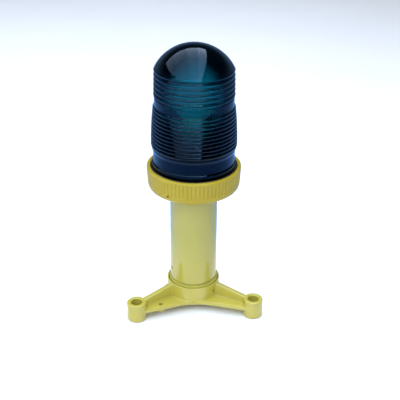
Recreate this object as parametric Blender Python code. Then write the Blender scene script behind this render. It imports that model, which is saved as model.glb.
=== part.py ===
"""Self-contained marker beacon: a blue glass dome on a short post with a three-arm bolt-down base.

The mast axis is the world's Z axis and the feet stand on z = 0. The arms point to 90, 210 and
330 degrees, so two of them face the front (-Y). Sizes are in millimetres, turned to metres by MM.
"""

import math

import bmesh
import bpy
from mathutils import Matrix, Vector

MM = 0.001
GAP = 0.3 * MM  # clearance between two pieces that touch on the real object

# Base casting
ARM_ANGLES = (90.0, 210.0, 330.0)
BOLT_CIRCLE_RADIUS = 88.0 * MM
BOSS_RADIUS = 12.55 * MM
BOSS_HEIGHT = 25.0 * MM
BOSS_HOLE_RADIUS = 7.0 * MM
PLATE_BOTTOM = 10.5 * MM
PLATE_TOP = 16.0 * MM
ARM_HALF_WIDTH_AT_HUB = 24.5 * MM
ARM_HUB_STATION = 28.0 * MM
ARM_HALF_WIDTH_AT_BOSS = 11.55 * MM
ARM_BOSS_STATION = 87.0 * MM
SADDLE_RADIUS = 72.0 * MM
RIB_HALF_THICKNESS = 3.3 * MM
RIB_HEIGHT_AT_HUB = 34.6 * MM
RIB_HEIGHT_AT_BOSS = 24.6 * MM
RIB_INNER_END = 30.0 * MM
RIB_OUTER_END = 79.5 * MM
HUB_BOTTOM = 10.0 * MM
HUB_RADIUS = 34.6 * MM
HUB_BORE_RADIUS = 32.6 * MM
HUB_TOP = 35.3 * MM
HUB_FLOOR_TOP = 14.5 * MM
EARTH_HOLE_ALONG = 57.7 * MM
EARTH_HOLE_ACROSS = 10.4 * MM
EARTH_HOLE_RADIUS = 2.75 * MM
EARTH_BOSS_RADIUS = 5.2 * MM
EARTH_BOSS_BOTTOM = 6.7 * MM
PLUG_HOLE_RADIUS = 10.0 * MM

# Break coupling between the hub and the tube
SKIRT_RADIUS = 31.9 * MM
SKIRT_TOP = 37.4 * MM
NECK_RADIUS = 29.2 * MM
GROOVE_RADIUS = 28.0 * MM
SPIGOT_RADIUS = 27.0 * MM
SPIGOT_TOP = 64.0 * MM
COUPLING_BORE_RADIUS = 24.5 * MM
HUB_SCREW_ANGLE = -41.45
HUB_SCREW_HEIGHT = 24.4 * MM
HUB_SCREW_HOLE_RADIUS = 1.4 * MM

# Pole tube: two-inch pipe
TUBE_RADIUS = 30.15 * MM
TUBE_WALL = 2.85 * MM
TUBE_FOOT = 39.6 * MM
TUBE_TOP = 170.0 * MM
TUBE_SCREW_ANGLES = (-162.95, 17.05)
TUBE_SCREW_HEIGHT = 53.6 * MM
TUBE_SCREW_HOLE_RADIUS = 2.5 * MM

# Head casting
HEAD_BOTTOM = 168.0 * MM
HEAD_FOOT_RADIUS = 44.0 * MM
HEAD_CHAMFER_TOP = 172.5 * MM
HEAD_FLOOR_TOP = 172.3 * MM
HEAD_THREAD_RADIUS = 51.0 * MM
HEAD_INNER_RADIUS = 46.0 * MM
HEAD_RIM = 182.6 * MM
HEAD_OPENING_RADIUS = 26.5 * MM
NECK_SOCKET_RADIUS = 34.5 * MM
NECK_SOCKET_BOTTOM = 160.2 * MM
NECK_SCREW_HEIGHT = 164.2 * MM
NECK_SCREW_HOLE_RADIUS = 2.0 * MM
SEAL_RADIUS = 49.0 * MM
SEAL_SECTION_RADIUS = 1.3 * MM
SEAL_GROOVE_DEPTH = 1.9 * MM

# Knurled clamp ring
RING_BOTTOM = 171.3 * MM
RING_LEDGE_BOTTOM = 184.8 * MM
RING_LEDGE_TOP = 188.0 * MM
RING_TOP = 201.0 * MM
RING_THREAD_RADIUS = 51.5 * MM
RING_LEDGE_RADIUS = 46.5 * MM
RING_POCKET_RADIUS = 54.6 * MM
KNURL_COUNT = 72
KNURL_DEPTH = 0.7 * MM
LOCK_SCREW_ANGLE = -126.45
LOCK_SCREW_HEIGHT = 179.0 * MM
LOCK_SCREW_HOLE_RADIUS = 1.5 * MM

# Glass lens
LENS_FOOT = 190.7 * MM
LENS_INNER_RADIUS = 45.0 * MM
LENS_PLAIN_RADIUS = 50.75 * MM
LENS_BEAD_RADIUS = 52.3 * MM
LENS_WAIST_RADIUS = 48.65 * MM
LOWER_RIDGES = 11
LOWER_BAND = (228.4 * MM, 280.4 * MM)
LOWER_CREST_RADIUS = 53.4 * MM
LOWER_RIDGE_DEPTH = 1.6 * MM
UPPER_RIDGES = 6
UPPER_BAND = (291.5 * MM, 324.5 * MM)
UPPER_CREST_RADII = (49.55 * MM, 48.6 * MM)
UPPER_RIDGE_DEPTH = 1.2 * MM
DOME_RADIUS = 54.5 * MM
DOME_TOP = 355.0 * MM
DOME_INNER_RADIUS = 50.0 * MM

# Battery pack in the tube: two D cells in a carrier hung from the head floor
CARRIER_BOTTOM = 43.5 * MM
CARRIER_RADIUS = 21.0 * MM
CARRIER_BORE_RADIUS = 17.6 * MM
CARRIER_FLANGE_RADIUS = 31.5 * MM
CARRIER_FLANGE_THICKNESS = 1.8 * MM
CARRIER_SCREW_CIRCLE = 28.6 * MM
CELL_RADIUS = 17.1 * MM
CELL_LENGTH = 61.3 * MM
LOWER_CELL_FOOT = 50.0 * MM

# Driver electronics in the head cup, and the lamp above it
POST_CIRCLE = 37.5 * MM
POST_ANGLES = (30.0, 150.0, 270.0)
BOARD_BOTTOM = 177.6 * MM
BOARD_THICKNESS = 1.6 * MM
TRAY_BOTTOM = 186.0 * MM
TRAY_THICKNESS = 2.4 * MM
TRAY_RADIUS = 44.0 * MM
SCREW_CLEARANCE_RADIUS = 1.7 * MM
SCREW_SHANK_RADIUS = 1.35 * MM
STEM_RADIUS = 9.0 * MM
STEM_BORE_RADIUS = 5.5 * MM
LED_BLOCK_BOTTOM = 240.0 * MM
LED_BLOCK_HEIGHT = 29.0 * MM
LED_BLOCK_APOTHEM = 13.0 * MM
LED_HEIGHT = 254.5 * MM  # the middle of the lens's lower band
LEAD_ANGLE = 0.0
HEAT_SINK_BOTTOM = 270.8 * MM
HEAT_SINK_RADIUS = 24.0 * MM
HEAT_SINK_PLATE = 4.0 * MM
HEAT_SINK_FIN_HEIGHT = 7.0 * MM
HEAT_SINK_FINS = 7
SWITCH_CIRCLE = 27.0 * MM
SWITCH_ANGLE = 210.0
SWITCH_BODY_RADIUS = 6.5 * MM
SWITCH_BODY_HEIGHT = 6.0 * MM
BUTTON_TRAVEL = 1.7 * MM


def clear_scene():
    """Empty the startup scene."""
    for old in list(bpy.data.objects):
        bpy.data.objects.remove(old, do_unlink=True)


def finish(name, colour, roughness, metallic=0.0, transmission=0.0):
    """A Principled material of one colour, given as linear red, green and blue."""
    material = bpy.data.materials.new(name)
    material.use_nodes = True
    shader = material.node_tree.nodes["Principled BSDF"]
    shader.inputs["Base Color"].default_value = (*colour, 1.0)
    shader.inputs["Roughness"].default_value = roughness
    shader.inputs["Metallic"].default_value = metallic
    shader.inputs["Transmission Weight"].default_value = transmission
    return material


def polar(radius, degrees, height=0.0):
    """The point at this radius, angle about the mast axis and height."""
    turn = math.radians(degrees)
    return Vector((radius * math.cos(turn), radius * math.sin(turn), height))


def facing_out(radius, degrees, height):
    """A placement at this polar point whose local Z axis points straight out from the mast."""
    turn = Matrix.Rotation(math.radians(degrees), 4, "Z")
    lean = Matrix.Rotation(math.radians(90.0), 4, "Y")
    return Matrix.Translation(polar(radius, degrees, height)) @ turn @ lean


def upright(radius, degrees, height):
    """A placement at this polar point, turned with its angle and standing upright."""
    turn = Matrix.Rotation(math.radians(degrees), 4, "Z")
    return Matrix.Translation(polar(radius, degrees, height)) @ turn


def add_turned(bm, profile, place=Matrix(), segments=32):
    """Spin a closed outline of (radius, height) points about the local Z axis. A flat end is one face."""
    points = [bm.verts.new((radius, 0.0, height)) for radius, height in profile]
    pairs = zip(points, points[1:] + points[:1])
    edges = [bm.edges.new(pair) for pair in pairs if pair[0].co.x > 0 or pair[1].co.x > 0]
    bmesh.ops.spin(bm, geom=points + edges, axis=(0, 0, 1), cent=(0, 0, 0),
                   steps=segments, angle=2 * math.pi, use_merge=True)
    fresh = linked_from(points)
    bmesh.ops.remove_doubles(bm, verts=fresh, dist=1e-6)
    fresh = [vert for vert in fresh if vert.is_valid]
    flat_poles = [vert for vert in fresh if vert.co.xy.length < 1e-7 and is_flat(vert)]
    bmesh.ops.dissolve_verts(bm, verts=flat_poles)
    fresh = [vert for vert in fresh if vert.is_valid]
    bmesh.ops.transform(bm, matrix=place, verts=fresh)
    bmesh.ops.recalc_face_normals(bm, faces=list({face for vert in fresh for face in vert.link_faces}))


def add_many(bm, profile, places, segments):
    """The same turned shape at several placements."""
    for place in places:
        add_turned(bm, profile, place, segments)


def is_flat(vert):
    """True if the vertex lies level with all its neighbours."""
    return all(abs(edge.other_vert(vert).co.z - vert.co.z) < 1e-7 for edge in vert.link_edges)


def linked_from(points):
    """All vertices joined by edges to these ones."""
    found, ahead = set(points), list(points)
    while ahead:
        for edge in ahead.pop().link_edges:
            for vert in edge.verts:
                if vert not in found:
                    found.add(vert)
                    ahead.append(vert)
    return list(found)


def add_prism(bm, outline, bottom, top, place=Matrix()):
    """Extrude a counter-clockwise outline of (x, y) points from one height to another."""
    floor = bm.faces.new([bm.verts.new((x, y, bottom)) for x, y in outline])
    made = bmesh.ops.extrude_face_region(bm, geom=[floor])["geom"]
    roof = [part for part in made if isinstance(part, bmesh.types.BMVert)]
    bmesh.ops.translate(bm, verts=roof, vec=(0, 0, top - bottom))
    whole = list(floor.verts) + roof
    bmesh.ops.transform(bm, matrix=place, verts=whole)
    bmesh.ops.recalc_face_normals(bm, faces=list({face for vert in whole for face in vert.link_faces}))


def add_block(bm, size, place=Matrix()):
    """A box of this size, centred in X and Y on the local origin and standing on it."""
    half_x, half_y = size[0] / 2, size[1] / 2
    outline = [(-half_x, -half_y), (half_x, -half_y), (half_x, half_y), (-half_x, half_y)]
    add_prism(bm, outline, 0.0, size[2], place)


def rod_profile(radius, length, chamfer=0.0):
    """The half outline of a round rod that stands on the local origin."""
    if not chamfer:
        return [(0, 0), (radius, 0), (radius, length), (0, length)]
    return [(0, 0), (radius - chamfer, 0), (radius, chamfer), (radius, length - chamfer),
            (radius - chamfer, length), (0, length)]


def ring_profile(inner, outer, bottom, top):
    """The outline of a plain ring."""
    return [(inner, bottom), (outer, bottom), (outer, top), (inner, top)]


def polygon(sides, radius, turn=0.0):
    """A regular polygon's corners, the first one at the given angle in degrees."""
    corners = [polar(radius, turn + 360.0 * step / sides) for step in range(sides)]
    return [(corner.x, corner.y) for corner in corners]


def to_object(bm, name, material, at=(0.0, 0.0, 0.0), parent=None, smooth=35.0):
    """Turn a bmesh into a named object with one material, smooth except at sharp edges."""
    mesh = bpy.data.meshes.new(name)
    bm.to_mesh(mesh)
    bm.free()
    mesh.materials.append(material)
    mesh.shade_smooth()
    mesh.set_sharp_from_angle(angle=math.radians(smooth))
    piece = bpy.data.objects.new(name, mesh)
    piece.location = at
    piece.parent = parent
    bpy.context.scene.collection.objects.link(piece)
    return piece


def turned(name, material, profile, at=0.0, parent=None, segments=32):
    """One turned piece on the mast axis, with its datum at height at."""
    bm = bmesh.new()
    add_turned(bm, profile, segments=segments)
    return to_object(bm, name, material, (0.0, 0.0, at), parent)


def combine(piece, bm, name, operation="DIFFERENCE"):
    """Cut a bmesh out of a piece, or join it on, through a hidden helper object."""
    helper = to_object(bm, name, piece.data.materials[0])
    helper.hide_render = True
    helper.display_type = "WIRE"
    step = piece.modifiers.new(name, "BOOLEAN")
    step.operation = operation
    step.solver = "EXACT"
    step.object = helper


def add_radial_rods(bm, radius, inner, outer, angles, height, segments=16):
    """Round rods that point straight out from the mast axis."""
    for angle in angles:
        add_turned(bm, rod_profile(radius, outer - inner), facing_out(inner, angle, height), segments)


def make_grub_screws(name, steel, radius, inner, outer, angles, height):
    """One headless screw at each angle, pointing at the mast axis, with a hexagon socket."""
    for number, angle in enumerate(angles, start=1):
        bm = bmesh.new()
        add_turned(bm, rod_profile(radius, outer - inner), segments=10)
        screw = to_object(bm, f"{name}_{number}", steel)
        screw.matrix_world = facing_out(inner, angle, height)
        socket = bmesh.new()
        add_prism(socket, polygon(6, radius * 0.55), outer - inner - 0.6 * MM, outer - inner + 1 * MM,
                  screw.matrix_world)
        combine(screw, socket, f"{name}_{number}_socket")


def group(name):
    """An empty that holds one sub-assembly."""
    holder = bpy.data.objects.new(name, None)
    bpy.context.scene.collection.objects.link(holder)
    return holder


def thirds(first):
    """Three angles a third of a turn apart."""
    return [first + 120.0 * step for step in range(3)]


def base_outline():
    """The base plate's outline: three tapering arms joined by wide concave saddles."""
    rise = ARM_HALF_WIDTH_AT_HUB - ARM_HALF_WIDTH_AT_BOSS
    taper = math.atan2(rise, ARM_BOSS_STATION - ARM_HUB_STATION)
    lean = math.radians(30.0) - taper  # a side's angle from the line across the saddle
    half_at_axis = ARM_HALF_WIDTH_AT_HUB + ARM_HUB_STATION * math.tan(taper)
    corner = half_at_axis * math.cos(taper) / math.cos(lean)
    arc_centre = corner + SADDLE_RADIUS / math.cos(lean)
    points = []
    for arm in ARM_ANGLES:
        for across in (-ARM_HALF_WIDTH_AT_BOSS, ARM_HALF_WIDTH_AT_BOSS):
            spot = upright(0.0, arm, 0.0) @ Vector((ARM_BOSS_STATION, across, 0.0))
            points.append((spot.x, spot.y))
        middle = arm + 60.0
        for step in range(4, -5, -1):
            swing = math.degrees(lean) * step / 4
            spot = polar(arc_centre, middle) + polar(SADDLE_RADIUS, middle + 180.0 + swing)
            points.append((spot.x, spot.y))
    return points


def make_base(coat):
    """The die-cast base: hub, three ribbed arms, three bolt bosses and the earth terminal boss."""
    bm = bmesh.new()
    add_prism(bm, base_outline(), PLATE_BOTTOM, PLATE_TOP)
    base = to_object(bm, "base_casting", coat, smooth=30.0)

    hub = bmesh.new()
    chamfer = 0.6 * MM
    add_turned(hub, [(0, HUB_BOTTOM), (HUB_RADIUS, HUB_BOTTOM), (HUB_RADIUS, HUB_TOP - chamfer),
                     (HUB_RADIUS - chamfer, HUB_TOP), (0, HUB_TOP)], segments=40)
    combine(base, hub, "hub_solid", "UNION")

    ribs = bmesh.new()
    foot = (PLATE_BOTTOM + PLATE_TOP) / 2
    side = [(-RIB_INNER_END, foot), (-RIB_INNER_END, RIB_HEIGHT_AT_HUB), (-RIB_OUTER_END, RIB_HEIGHT_AT_BOSS),
            (-RIB_OUTER_END, foot)]
    for arm in ARM_ANGLES:
        stand = upright(0.0, arm, 0.0) @ Matrix.Rotation(math.radians(90.0), 4, "X")
        flip = Matrix.Rotation(math.radians(180.0), 4, "Y")
        add_prism(ribs, side, -RIB_HALF_THICKNESS, RIB_HALF_THICKNESS, stand @ flip)
    combine(base, ribs, "rib_solids", "UNION")

    bosses = bmesh.new()
    edge = 1.2 * MM
    boss = [(0, 0), (BOSS_RADIUS - edge / 2, 0), (BOSS_RADIUS, edge / 2), (BOSS_RADIUS, BOSS_HEIGHT - edge),
            (BOSS_RADIUS - edge, BOSS_HEIGHT), (0, BOSS_HEIGHT)]
    add_many(bosses, boss, [upright(BOLT_CIRCLE_RADIUS, arm, 0.0) for arm in ARM_ANGLES], 24)
    combine(base, bosses, "boss_solids", "UNION")

    earth_place = upright(0.0, ARM_ANGLES[1], 0.0) @ Matrix.Translation(
        (EARTH_HOLE_ALONG, EARTH_HOLE_ACROSS, 0.0))
    earth_boss = bmesh.new()
    lift = Matrix.Translation((0, 0, EARTH_BOSS_BOTTOM))
    add_turned(earth_boss, rod_profile(EARTH_BOSS_RADIUS, PLATE_TOP - 1 * MM - EARTH_BOSS_BOTTOM),
               earth_place @ lift, 14)
    combine(base, earth_boss, "earth_boss_solid", "UNION")

    holes = bmesh.new()
    past = 5.0 * MM
    for arm in ARM_ANGLES:
        add_turned(holes, rod_profile(BOSS_HOLE_RADIUS, BOSS_HEIGHT + 2 * past),
                   upright(BOLT_CIRCLE_RADIUS, arm, -past), 20)
    add_turned(holes, rod_profile(EARTH_HOLE_RADIUS, PLATE_TOP + past), earth_place, 12)
    add_turned(holes, [(0, 0), (PLUG_HOLE_RADIUS, 0), (PLUG_HOLE_RADIUS, HUB_FLOOR_TOP),
                       (HUB_BORE_RADIUS, HUB_FLOOR_TOP), (HUB_BORE_RADIUS, HUB_TOP + past),
                       (0, HUB_TOP + past)], segments=40)
    combine(base, holes, "hub_bore_and_bolt_holes")

    screw_holes = bmesh.new()
    add_radial_rods(screw_holes, HUB_SCREW_HOLE_RADIUS, HUB_BORE_RADIUS - 2 * MM, HUB_RADIUS + 2 * MM,
                    thirds(HUB_SCREW_ANGLE), HUB_SCREW_HEIGHT, 10)
    combine(base, screw_holes, "hub_screw_holes")
    return base


def make_base_plug(plastic, rubber):
    """The blanking plug of the cable entry in the hub floor, with its sealing washer."""
    head_height, seal_height = 4.2 * MM, 0.9 * MM
    seal_bottom = HUB_BOTTOM - GAP - seal_height
    head_bottom = seal_bottom - GAP - head_height
    bm = bmesh.new()
    add_prism(bm, polygon(6, 13.6 * MM), 0.0, head_height)
    plug = to_object(bm, "base_plug", plastic, (0, 0, head_bottom), smooth=30.0)
    shank = bmesh.new()
    add_turned(shank, rod_profile(PLUG_HOLE_RADIUS - GAP, 12.5 * MM, 0.8 * MM),
               Matrix.Translation((0, 0, head_bottom + 1 * MM)), 32)
    combine(plug, shank, "plug_shank", "UNION")
    turned("plug_seal", rubber, ring_profile(PLUG_HOLE_RADIUS + GAP, 13.0 * MM, 0, seal_height), seal_bottom,
           segments=32)


def make_coupling(metal, steel):
    """The break coupling: a skirt in the hub, a weak groove and a spigot in the tube."""
    foot = HUB_FLOOR_TOP + GAP
    shoulder = TUBE_FOOT - GAP
    profile = [(COUPLING_BORE_RADIUS, foot), (SKIRT_RADIUS, foot), (SKIRT_RADIUS, SKIRT_TOP),
               (NECK_RADIUS, SKIRT_TOP), (GROOVE_RADIUS, (SKIRT_TOP + shoulder) / 2),
               (NECK_RADIUS, shoulder), (SPIGOT_RADIUS, shoulder), (SPIGOT_RADIUS, SPIGOT_TOP),
               (COUPLING_BORE_RADIUS, SPIGOT_TOP)]
    coupling = turned("break_coupling", metal, profile, segments=40)
    holes = bmesh.new()
    hub_screw_tip = SKIRT_RADIUS - 4.0 * MM
    add_radial_rods(holes, HUB_SCREW_HOLE_RADIUS, hub_screw_tip - GAP, SKIRT_RADIUS + 2 * MM,
                    thirds(HUB_SCREW_ANGLE), HUB_SCREW_HEIGHT, 10)
    add_radial_rods(holes, TUBE_SCREW_HOLE_RADIUS, COUPLING_BORE_RADIUS - 3 * MM, SPIGOT_RADIUS + 2 * MM,
                    TUBE_SCREW_ANGLES, TUBE_SCREW_HEIGHT)
    combine(coupling, holes, "coupling_screw_holes")
    make_grub_screws("hub_screw", steel, HUB_SCREW_HOLE_RADIUS - GAP, hub_screw_tip, HUB_RADIUS - 0.5 * MM,
                     thirds(HUB_SCREW_ANGLE), HUB_SCREW_HEIGHT)


def make_tube(coat, steel):
    """The pole tube and the two screws that hold it on the coupling's spigot."""
    inner = TUBE_RADIUS - TUBE_WALL
    tube = turned("pole_tube", coat, ring_profile(inner, TUBE_RADIUS, 0, TUBE_TOP - TUBE_FOOT), TUBE_FOOT,
                  segments=48)
    holes = bmesh.new()
    add_radial_rods(holes, TUBE_SCREW_HOLE_RADIUS, inner - 2 * MM, TUBE_RADIUS + 2 * MM,
                    TUBE_SCREW_ANGLES, TUBE_SCREW_HEIGHT)
    combine(tube, holes, "tube_screw_holes")
    make_grub_screws("tube_screw", steel, TUBE_SCREW_HOLE_RADIUS - GAP, COUPLING_BORE_RADIUS + 0.2 * MM,
                     TUBE_RADIUS - 1.4 * MM, TUBE_SCREW_ANGLES, TUBE_SCREW_HEIGHT)


def make_head(coat, steel):
    """The head casting: a socket for the tube below, and a threaded cup for the lens unit above."""
    socket_radius = TUBE_RADIUS + GAP
    groove_floor = HEAD_RIM - SEAL_GROOVE_DEPTH
    groove_half = SEAL_SECTION_RADIUS + GAP / 2
    profile = [(socket_radius, NECK_SOCKET_BOTTOM), (NECK_SOCKET_RADIUS, NECK_SOCKET_BOTTOM),
               (NECK_SOCKET_RADIUS, HEAD_BOTTOM), (HEAD_FOOT_RADIUS, HEAD_BOTTOM),
               (HEAD_THREAD_RADIUS, HEAD_CHAMFER_TOP),
               (HEAD_THREAD_RADIUS, HEAD_RIM), (SEAL_RADIUS + groove_half, HEAD_RIM),
               (SEAL_RADIUS + groove_half, groove_floor), (SEAL_RADIUS - groove_half, groove_floor),
               (SEAL_RADIUS - groove_half, HEAD_RIM), (HEAD_INNER_RADIUS, HEAD_RIM),
               (HEAD_INNER_RADIUS, HEAD_FLOOR_TOP), (HEAD_OPENING_RADIUS, HEAD_FLOOR_TOP),
               (HEAD_OPENING_RADIUS, TUBE_TOP + GAP), (socket_radius, TUBE_TOP + GAP)]
    head = turned("head_casting", coat, profile, segments=36)
    holes = bmesh.new()
    add_radial_rods(holes, NECK_SCREW_HOLE_RADIUS, TUBE_RADIUS - 1 * MM, NECK_SOCKET_RADIUS + 2 * MM,
                    thirds(30.0), NECK_SCREW_HEIGHT, 12)
    for angle in thirds(ARM_ANGLES[0]):
        add_turned(holes, rod_profile(SCREW_CLEARANCE_RADIUS, 12.0 * MM),
                   upright(CARRIER_SCREW_CIRCLE, angle, TUBE_TOP + 1.0 * MM), 12)
    combine(head, holes, "head_screw_holes")
    make_grub_screws("neck_screw", steel, NECK_SCREW_HOLE_RADIUS - GAP, TUBE_RADIUS + GAP,
                     NECK_SOCKET_RADIUS - 0.6 * MM, thirds(30.0), NECK_SCREW_HEIGHT)


def circle_profile(centre_radius, centre_height, section_radius, sides=6):
    """The outline of an O-ring's round section."""
    turn = [2 * math.pi * (step + 0.5) / sides for step in range(sides)]
    return [(centre_radius + section_radius * math.cos(angle),
             centre_height + section_radius * math.sin(angle)) for angle in turn]


def make_head_seal(rubber, plastic, parent):
    """The O-ring in the head's rim and the slip washer that the turning ring bears on."""
    seal_height = HEAD_RIM - SEAL_GROOVE_DEPTH + SEAL_SECTION_RADIUS + GAP
    turned("head_seal", rubber, circle_profile(SEAL_RADIUS, 0, SEAL_SECTION_RADIUS), seal_height, parent)
    washer_top = RING_LEDGE_BOTTOM - GAP
    washer = ring_profile(RING_LEDGE_RADIUS + GAP, RING_THREAD_RADIUS - GAP, -0.6 * MM, 0)
    turned("slip_washer", plastic, washer, washer_top, parent)


def make_clamp_ring(coat, steel, parent):
    """The knurled ring that holds the lens and screws onto the head, and its locking screw."""
    outer = [(52.8, 171.3), (55.6, 172.6), (57.4, 175.0), (58.0, 178.2), (58.1, 179.4),
             (59.3, 198.4), (59.1, 200.2), (58.3, 201.0)]
    knurled = {4, 5}
    inner = [(RING_POCKET_RADIUS, RING_TOP), (RING_POCKET_RADIUS, RING_LEDGE_TOP), (RING_LEDGE_RADIUS, RING_LEDGE_TOP),
             (RING_LEDGE_RADIUS, RING_LEDGE_BOTTOM), (RING_THREAD_RADIUS, RING_LEDGE_BOTTOM),
             (RING_THREAD_RADIUS, RING_BOTTOM)]
    profile = [(radius * MM, height * MM) for radius, height in outer] + inner
    columns = 2 * KNURL_COUNT
    bm = bmesh.new()
    rings = []
    for column in range(columns):
        angle = 360.0 * (column + 0.5) / columns
        deep = KNURL_DEPTH if column % 2 else 0.0
        rings.append([bm.verts.new(polar(radius - (deep if row in knurled else 0.0), angle, height))
                      for row, (radius, height) in enumerate(profile)])
    for column in range(columns):
        here, beside = rings[column], rings[(column + 1) % columns]
        for row in range(len(profile)):
            above = (row + 1) % len(profile)
            bm.faces.new((here[row], beside[row], beside[above], here[above]))
    bmesh.ops.recalc_face_normals(bm, faces=list(bm.faces))
    ring = to_object(bm, "clamp_ring", coat, parent=parent)

    hole = bmesh.new()
    add_radial_rods(hole, LOCK_SCREW_HOLE_RADIUS, RING_THREAD_RADIUS - 1 * MM, 60.0 * MM,
                    [LOCK_SCREW_ANGLE], LOCK_SCREW_HEIGHT, 14)
    combine(ring, hole, "lock_screw_hole")
    bm = bmesh.new()
    add_radial_rods(bm, LOCK_SCREW_HOLE_RADIUS - GAP, RING_THREAD_RADIUS + 0.2 * MM, 55.4 * MM,
                    [LOCK_SCREW_ANGLE], LOCK_SCREW_HEIGHT, 12)
    to_object(bm, "ring_lock_screw", steel, parent=parent)


def make_gasket(rubber, parent):
    """The L-section gasket that the glass foot sits in, inside the clamp ring's pocket."""
    outer = RING_POCKET_RADIUS - GAP
    foot = RING_LEDGE_TOP + GAP
    channel = LENS_FOOT - GAP
    top = RING_TOP - 0.2 * MM
    profile = [(RING_LEDGE_RADIUS + GAP, foot), (outer, foot), (outer, top - 0.6 * MM),
               (outer - 0.6 * MM, top), (LENS_PLAIN_RADIUS + GAP, top), (LENS_PLAIN_RADIUS + GAP, channel),
               (RING_LEDGE_RADIUS + GAP, channel)]
    turned("lens_gasket", rubber, profile, parent=parent)


def ridges(count, bottom, top, depth, crest):
    """A stack of ridges: valleys at the ends and between crests, crest(height) giving their radius."""
    pitch = (top - bottom) / count
    points = []
    for step in range(count):
        low = bottom + pitch * step
        middle = low + pitch / 2
        points += [(crest(low) - depth, low), (crest(middle), middle)]
    return points + [(crest(top) - depth, top)]


def lens_profile():
    """The lens section: foot, bead, plain band, lower ridges, waist, upper ridges and dome."""
    lower = ridges(LOWER_RIDGES, *LOWER_BAND, LOWER_RIDGE_DEPTH,
                   lambda height: LOWER_CREST_RADIUS - 1.17 * (height - 229.0 * MM) ** 2)
    low_crest, high_crest = UPPER_CREST_RADII
    span = UPPER_BAND[1] - UPPER_BAND[0]
    upper = ridges(UPPER_RIDGES, *UPPER_BAND, UPPER_RIDGE_DEPTH,
                   lambda height: low_crest + (high_crest - low_crest) * (height - UPPER_BAND[0]) / span)
    centre = DOME_TOP - DOME_RADIUS
    start = math.asin((UPPER_BAND[1] + 1.5 * MM - centre) / DOME_RADIUS)
    steps = 6
    rise = [start + (math.pi / 2 - start) * step / steps for step in range(steps + 1)]
    dome = [(DOME_RADIUS * math.cos(angle), centre + DOME_RADIUS * math.sin(angle)) for angle in rise]
    dome[-1] = (0.0, DOME_TOP)
    inner_start = math.acos(LENS_INNER_RADIUS / DOME_INNER_RADIUS)
    fall = [math.pi / 2 - (math.pi / 2 - inner_start) * step / steps for step in range(steps + 1)]
    inside = [(DOME_INNER_RADIUS * math.cos(angle), centre + DOME_INNER_RADIUS * math.sin(angle))
              for angle in fall]
    inside[0] = (0.0, centre + DOME_INNER_RADIUS)
    foot = [(LENS_INNER_RADIUS, LENS_FOOT), (LENS_PLAIN_RADIUS, LENS_FOOT), (LENS_PLAIN_RADIUS, 203.4 * MM),
            (LENS_BEAD_RADIUS, 204.0 * MM), (LENS_BEAD_RADIUS, 207.4 * MM),
            (LENS_PLAIN_RADIUS, 208.6 * MM), (LENS_PLAIN_RADIUS, 222.0 * MM), (52.6 * MM, 226.6 * MM)]
    waist = [(LENS_WAIST_RADIUS, LOWER_BAND[1] + 1.2 * MM), (LENS_WAIST_RADIUS, UPPER_BAND[0] - 0.8 * MM)]
    return foot + lower[1:] + waist + upper[1:-1] + dome + inside


def make_lens(glass, parent):
    """The blue glass dome."""
    turned("lens_dome", glass, lens_profile(), parent=parent, segments=28)


def helix(radius, bottom, top, turns):
    """Points wound about the mast axis."""
    steps = int(turns * 14)
    return [polar(radius, 360.0 * turns * step / steps, bottom + (top - bottom) * step / steps)
            for step in range(steps + 1)]


def wire_curve(name, material, route, wire, parent):
    """A curve object that follows the route, with a round section and closed ends."""
    curve = bpy.data.curves.new(name, "CURVE")
    curve.dimensions = "3D"
    curve.bevel_depth = wire
    curve.bevel_resolution = 1
    curve.use_fill_caps = True
    spline = curve.splines.new("POLY")
    spline.points.add(len(route) - 1)
    for point, place in zip(spline.points, route):
        point.co = (*place, 1.0)
    curve.materials.append(material)
    piece = bpy.data.objects.new(name, curve)
    piece.parent = parent
    bpy.context.scene.collection.objects.link(piece)


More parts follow.
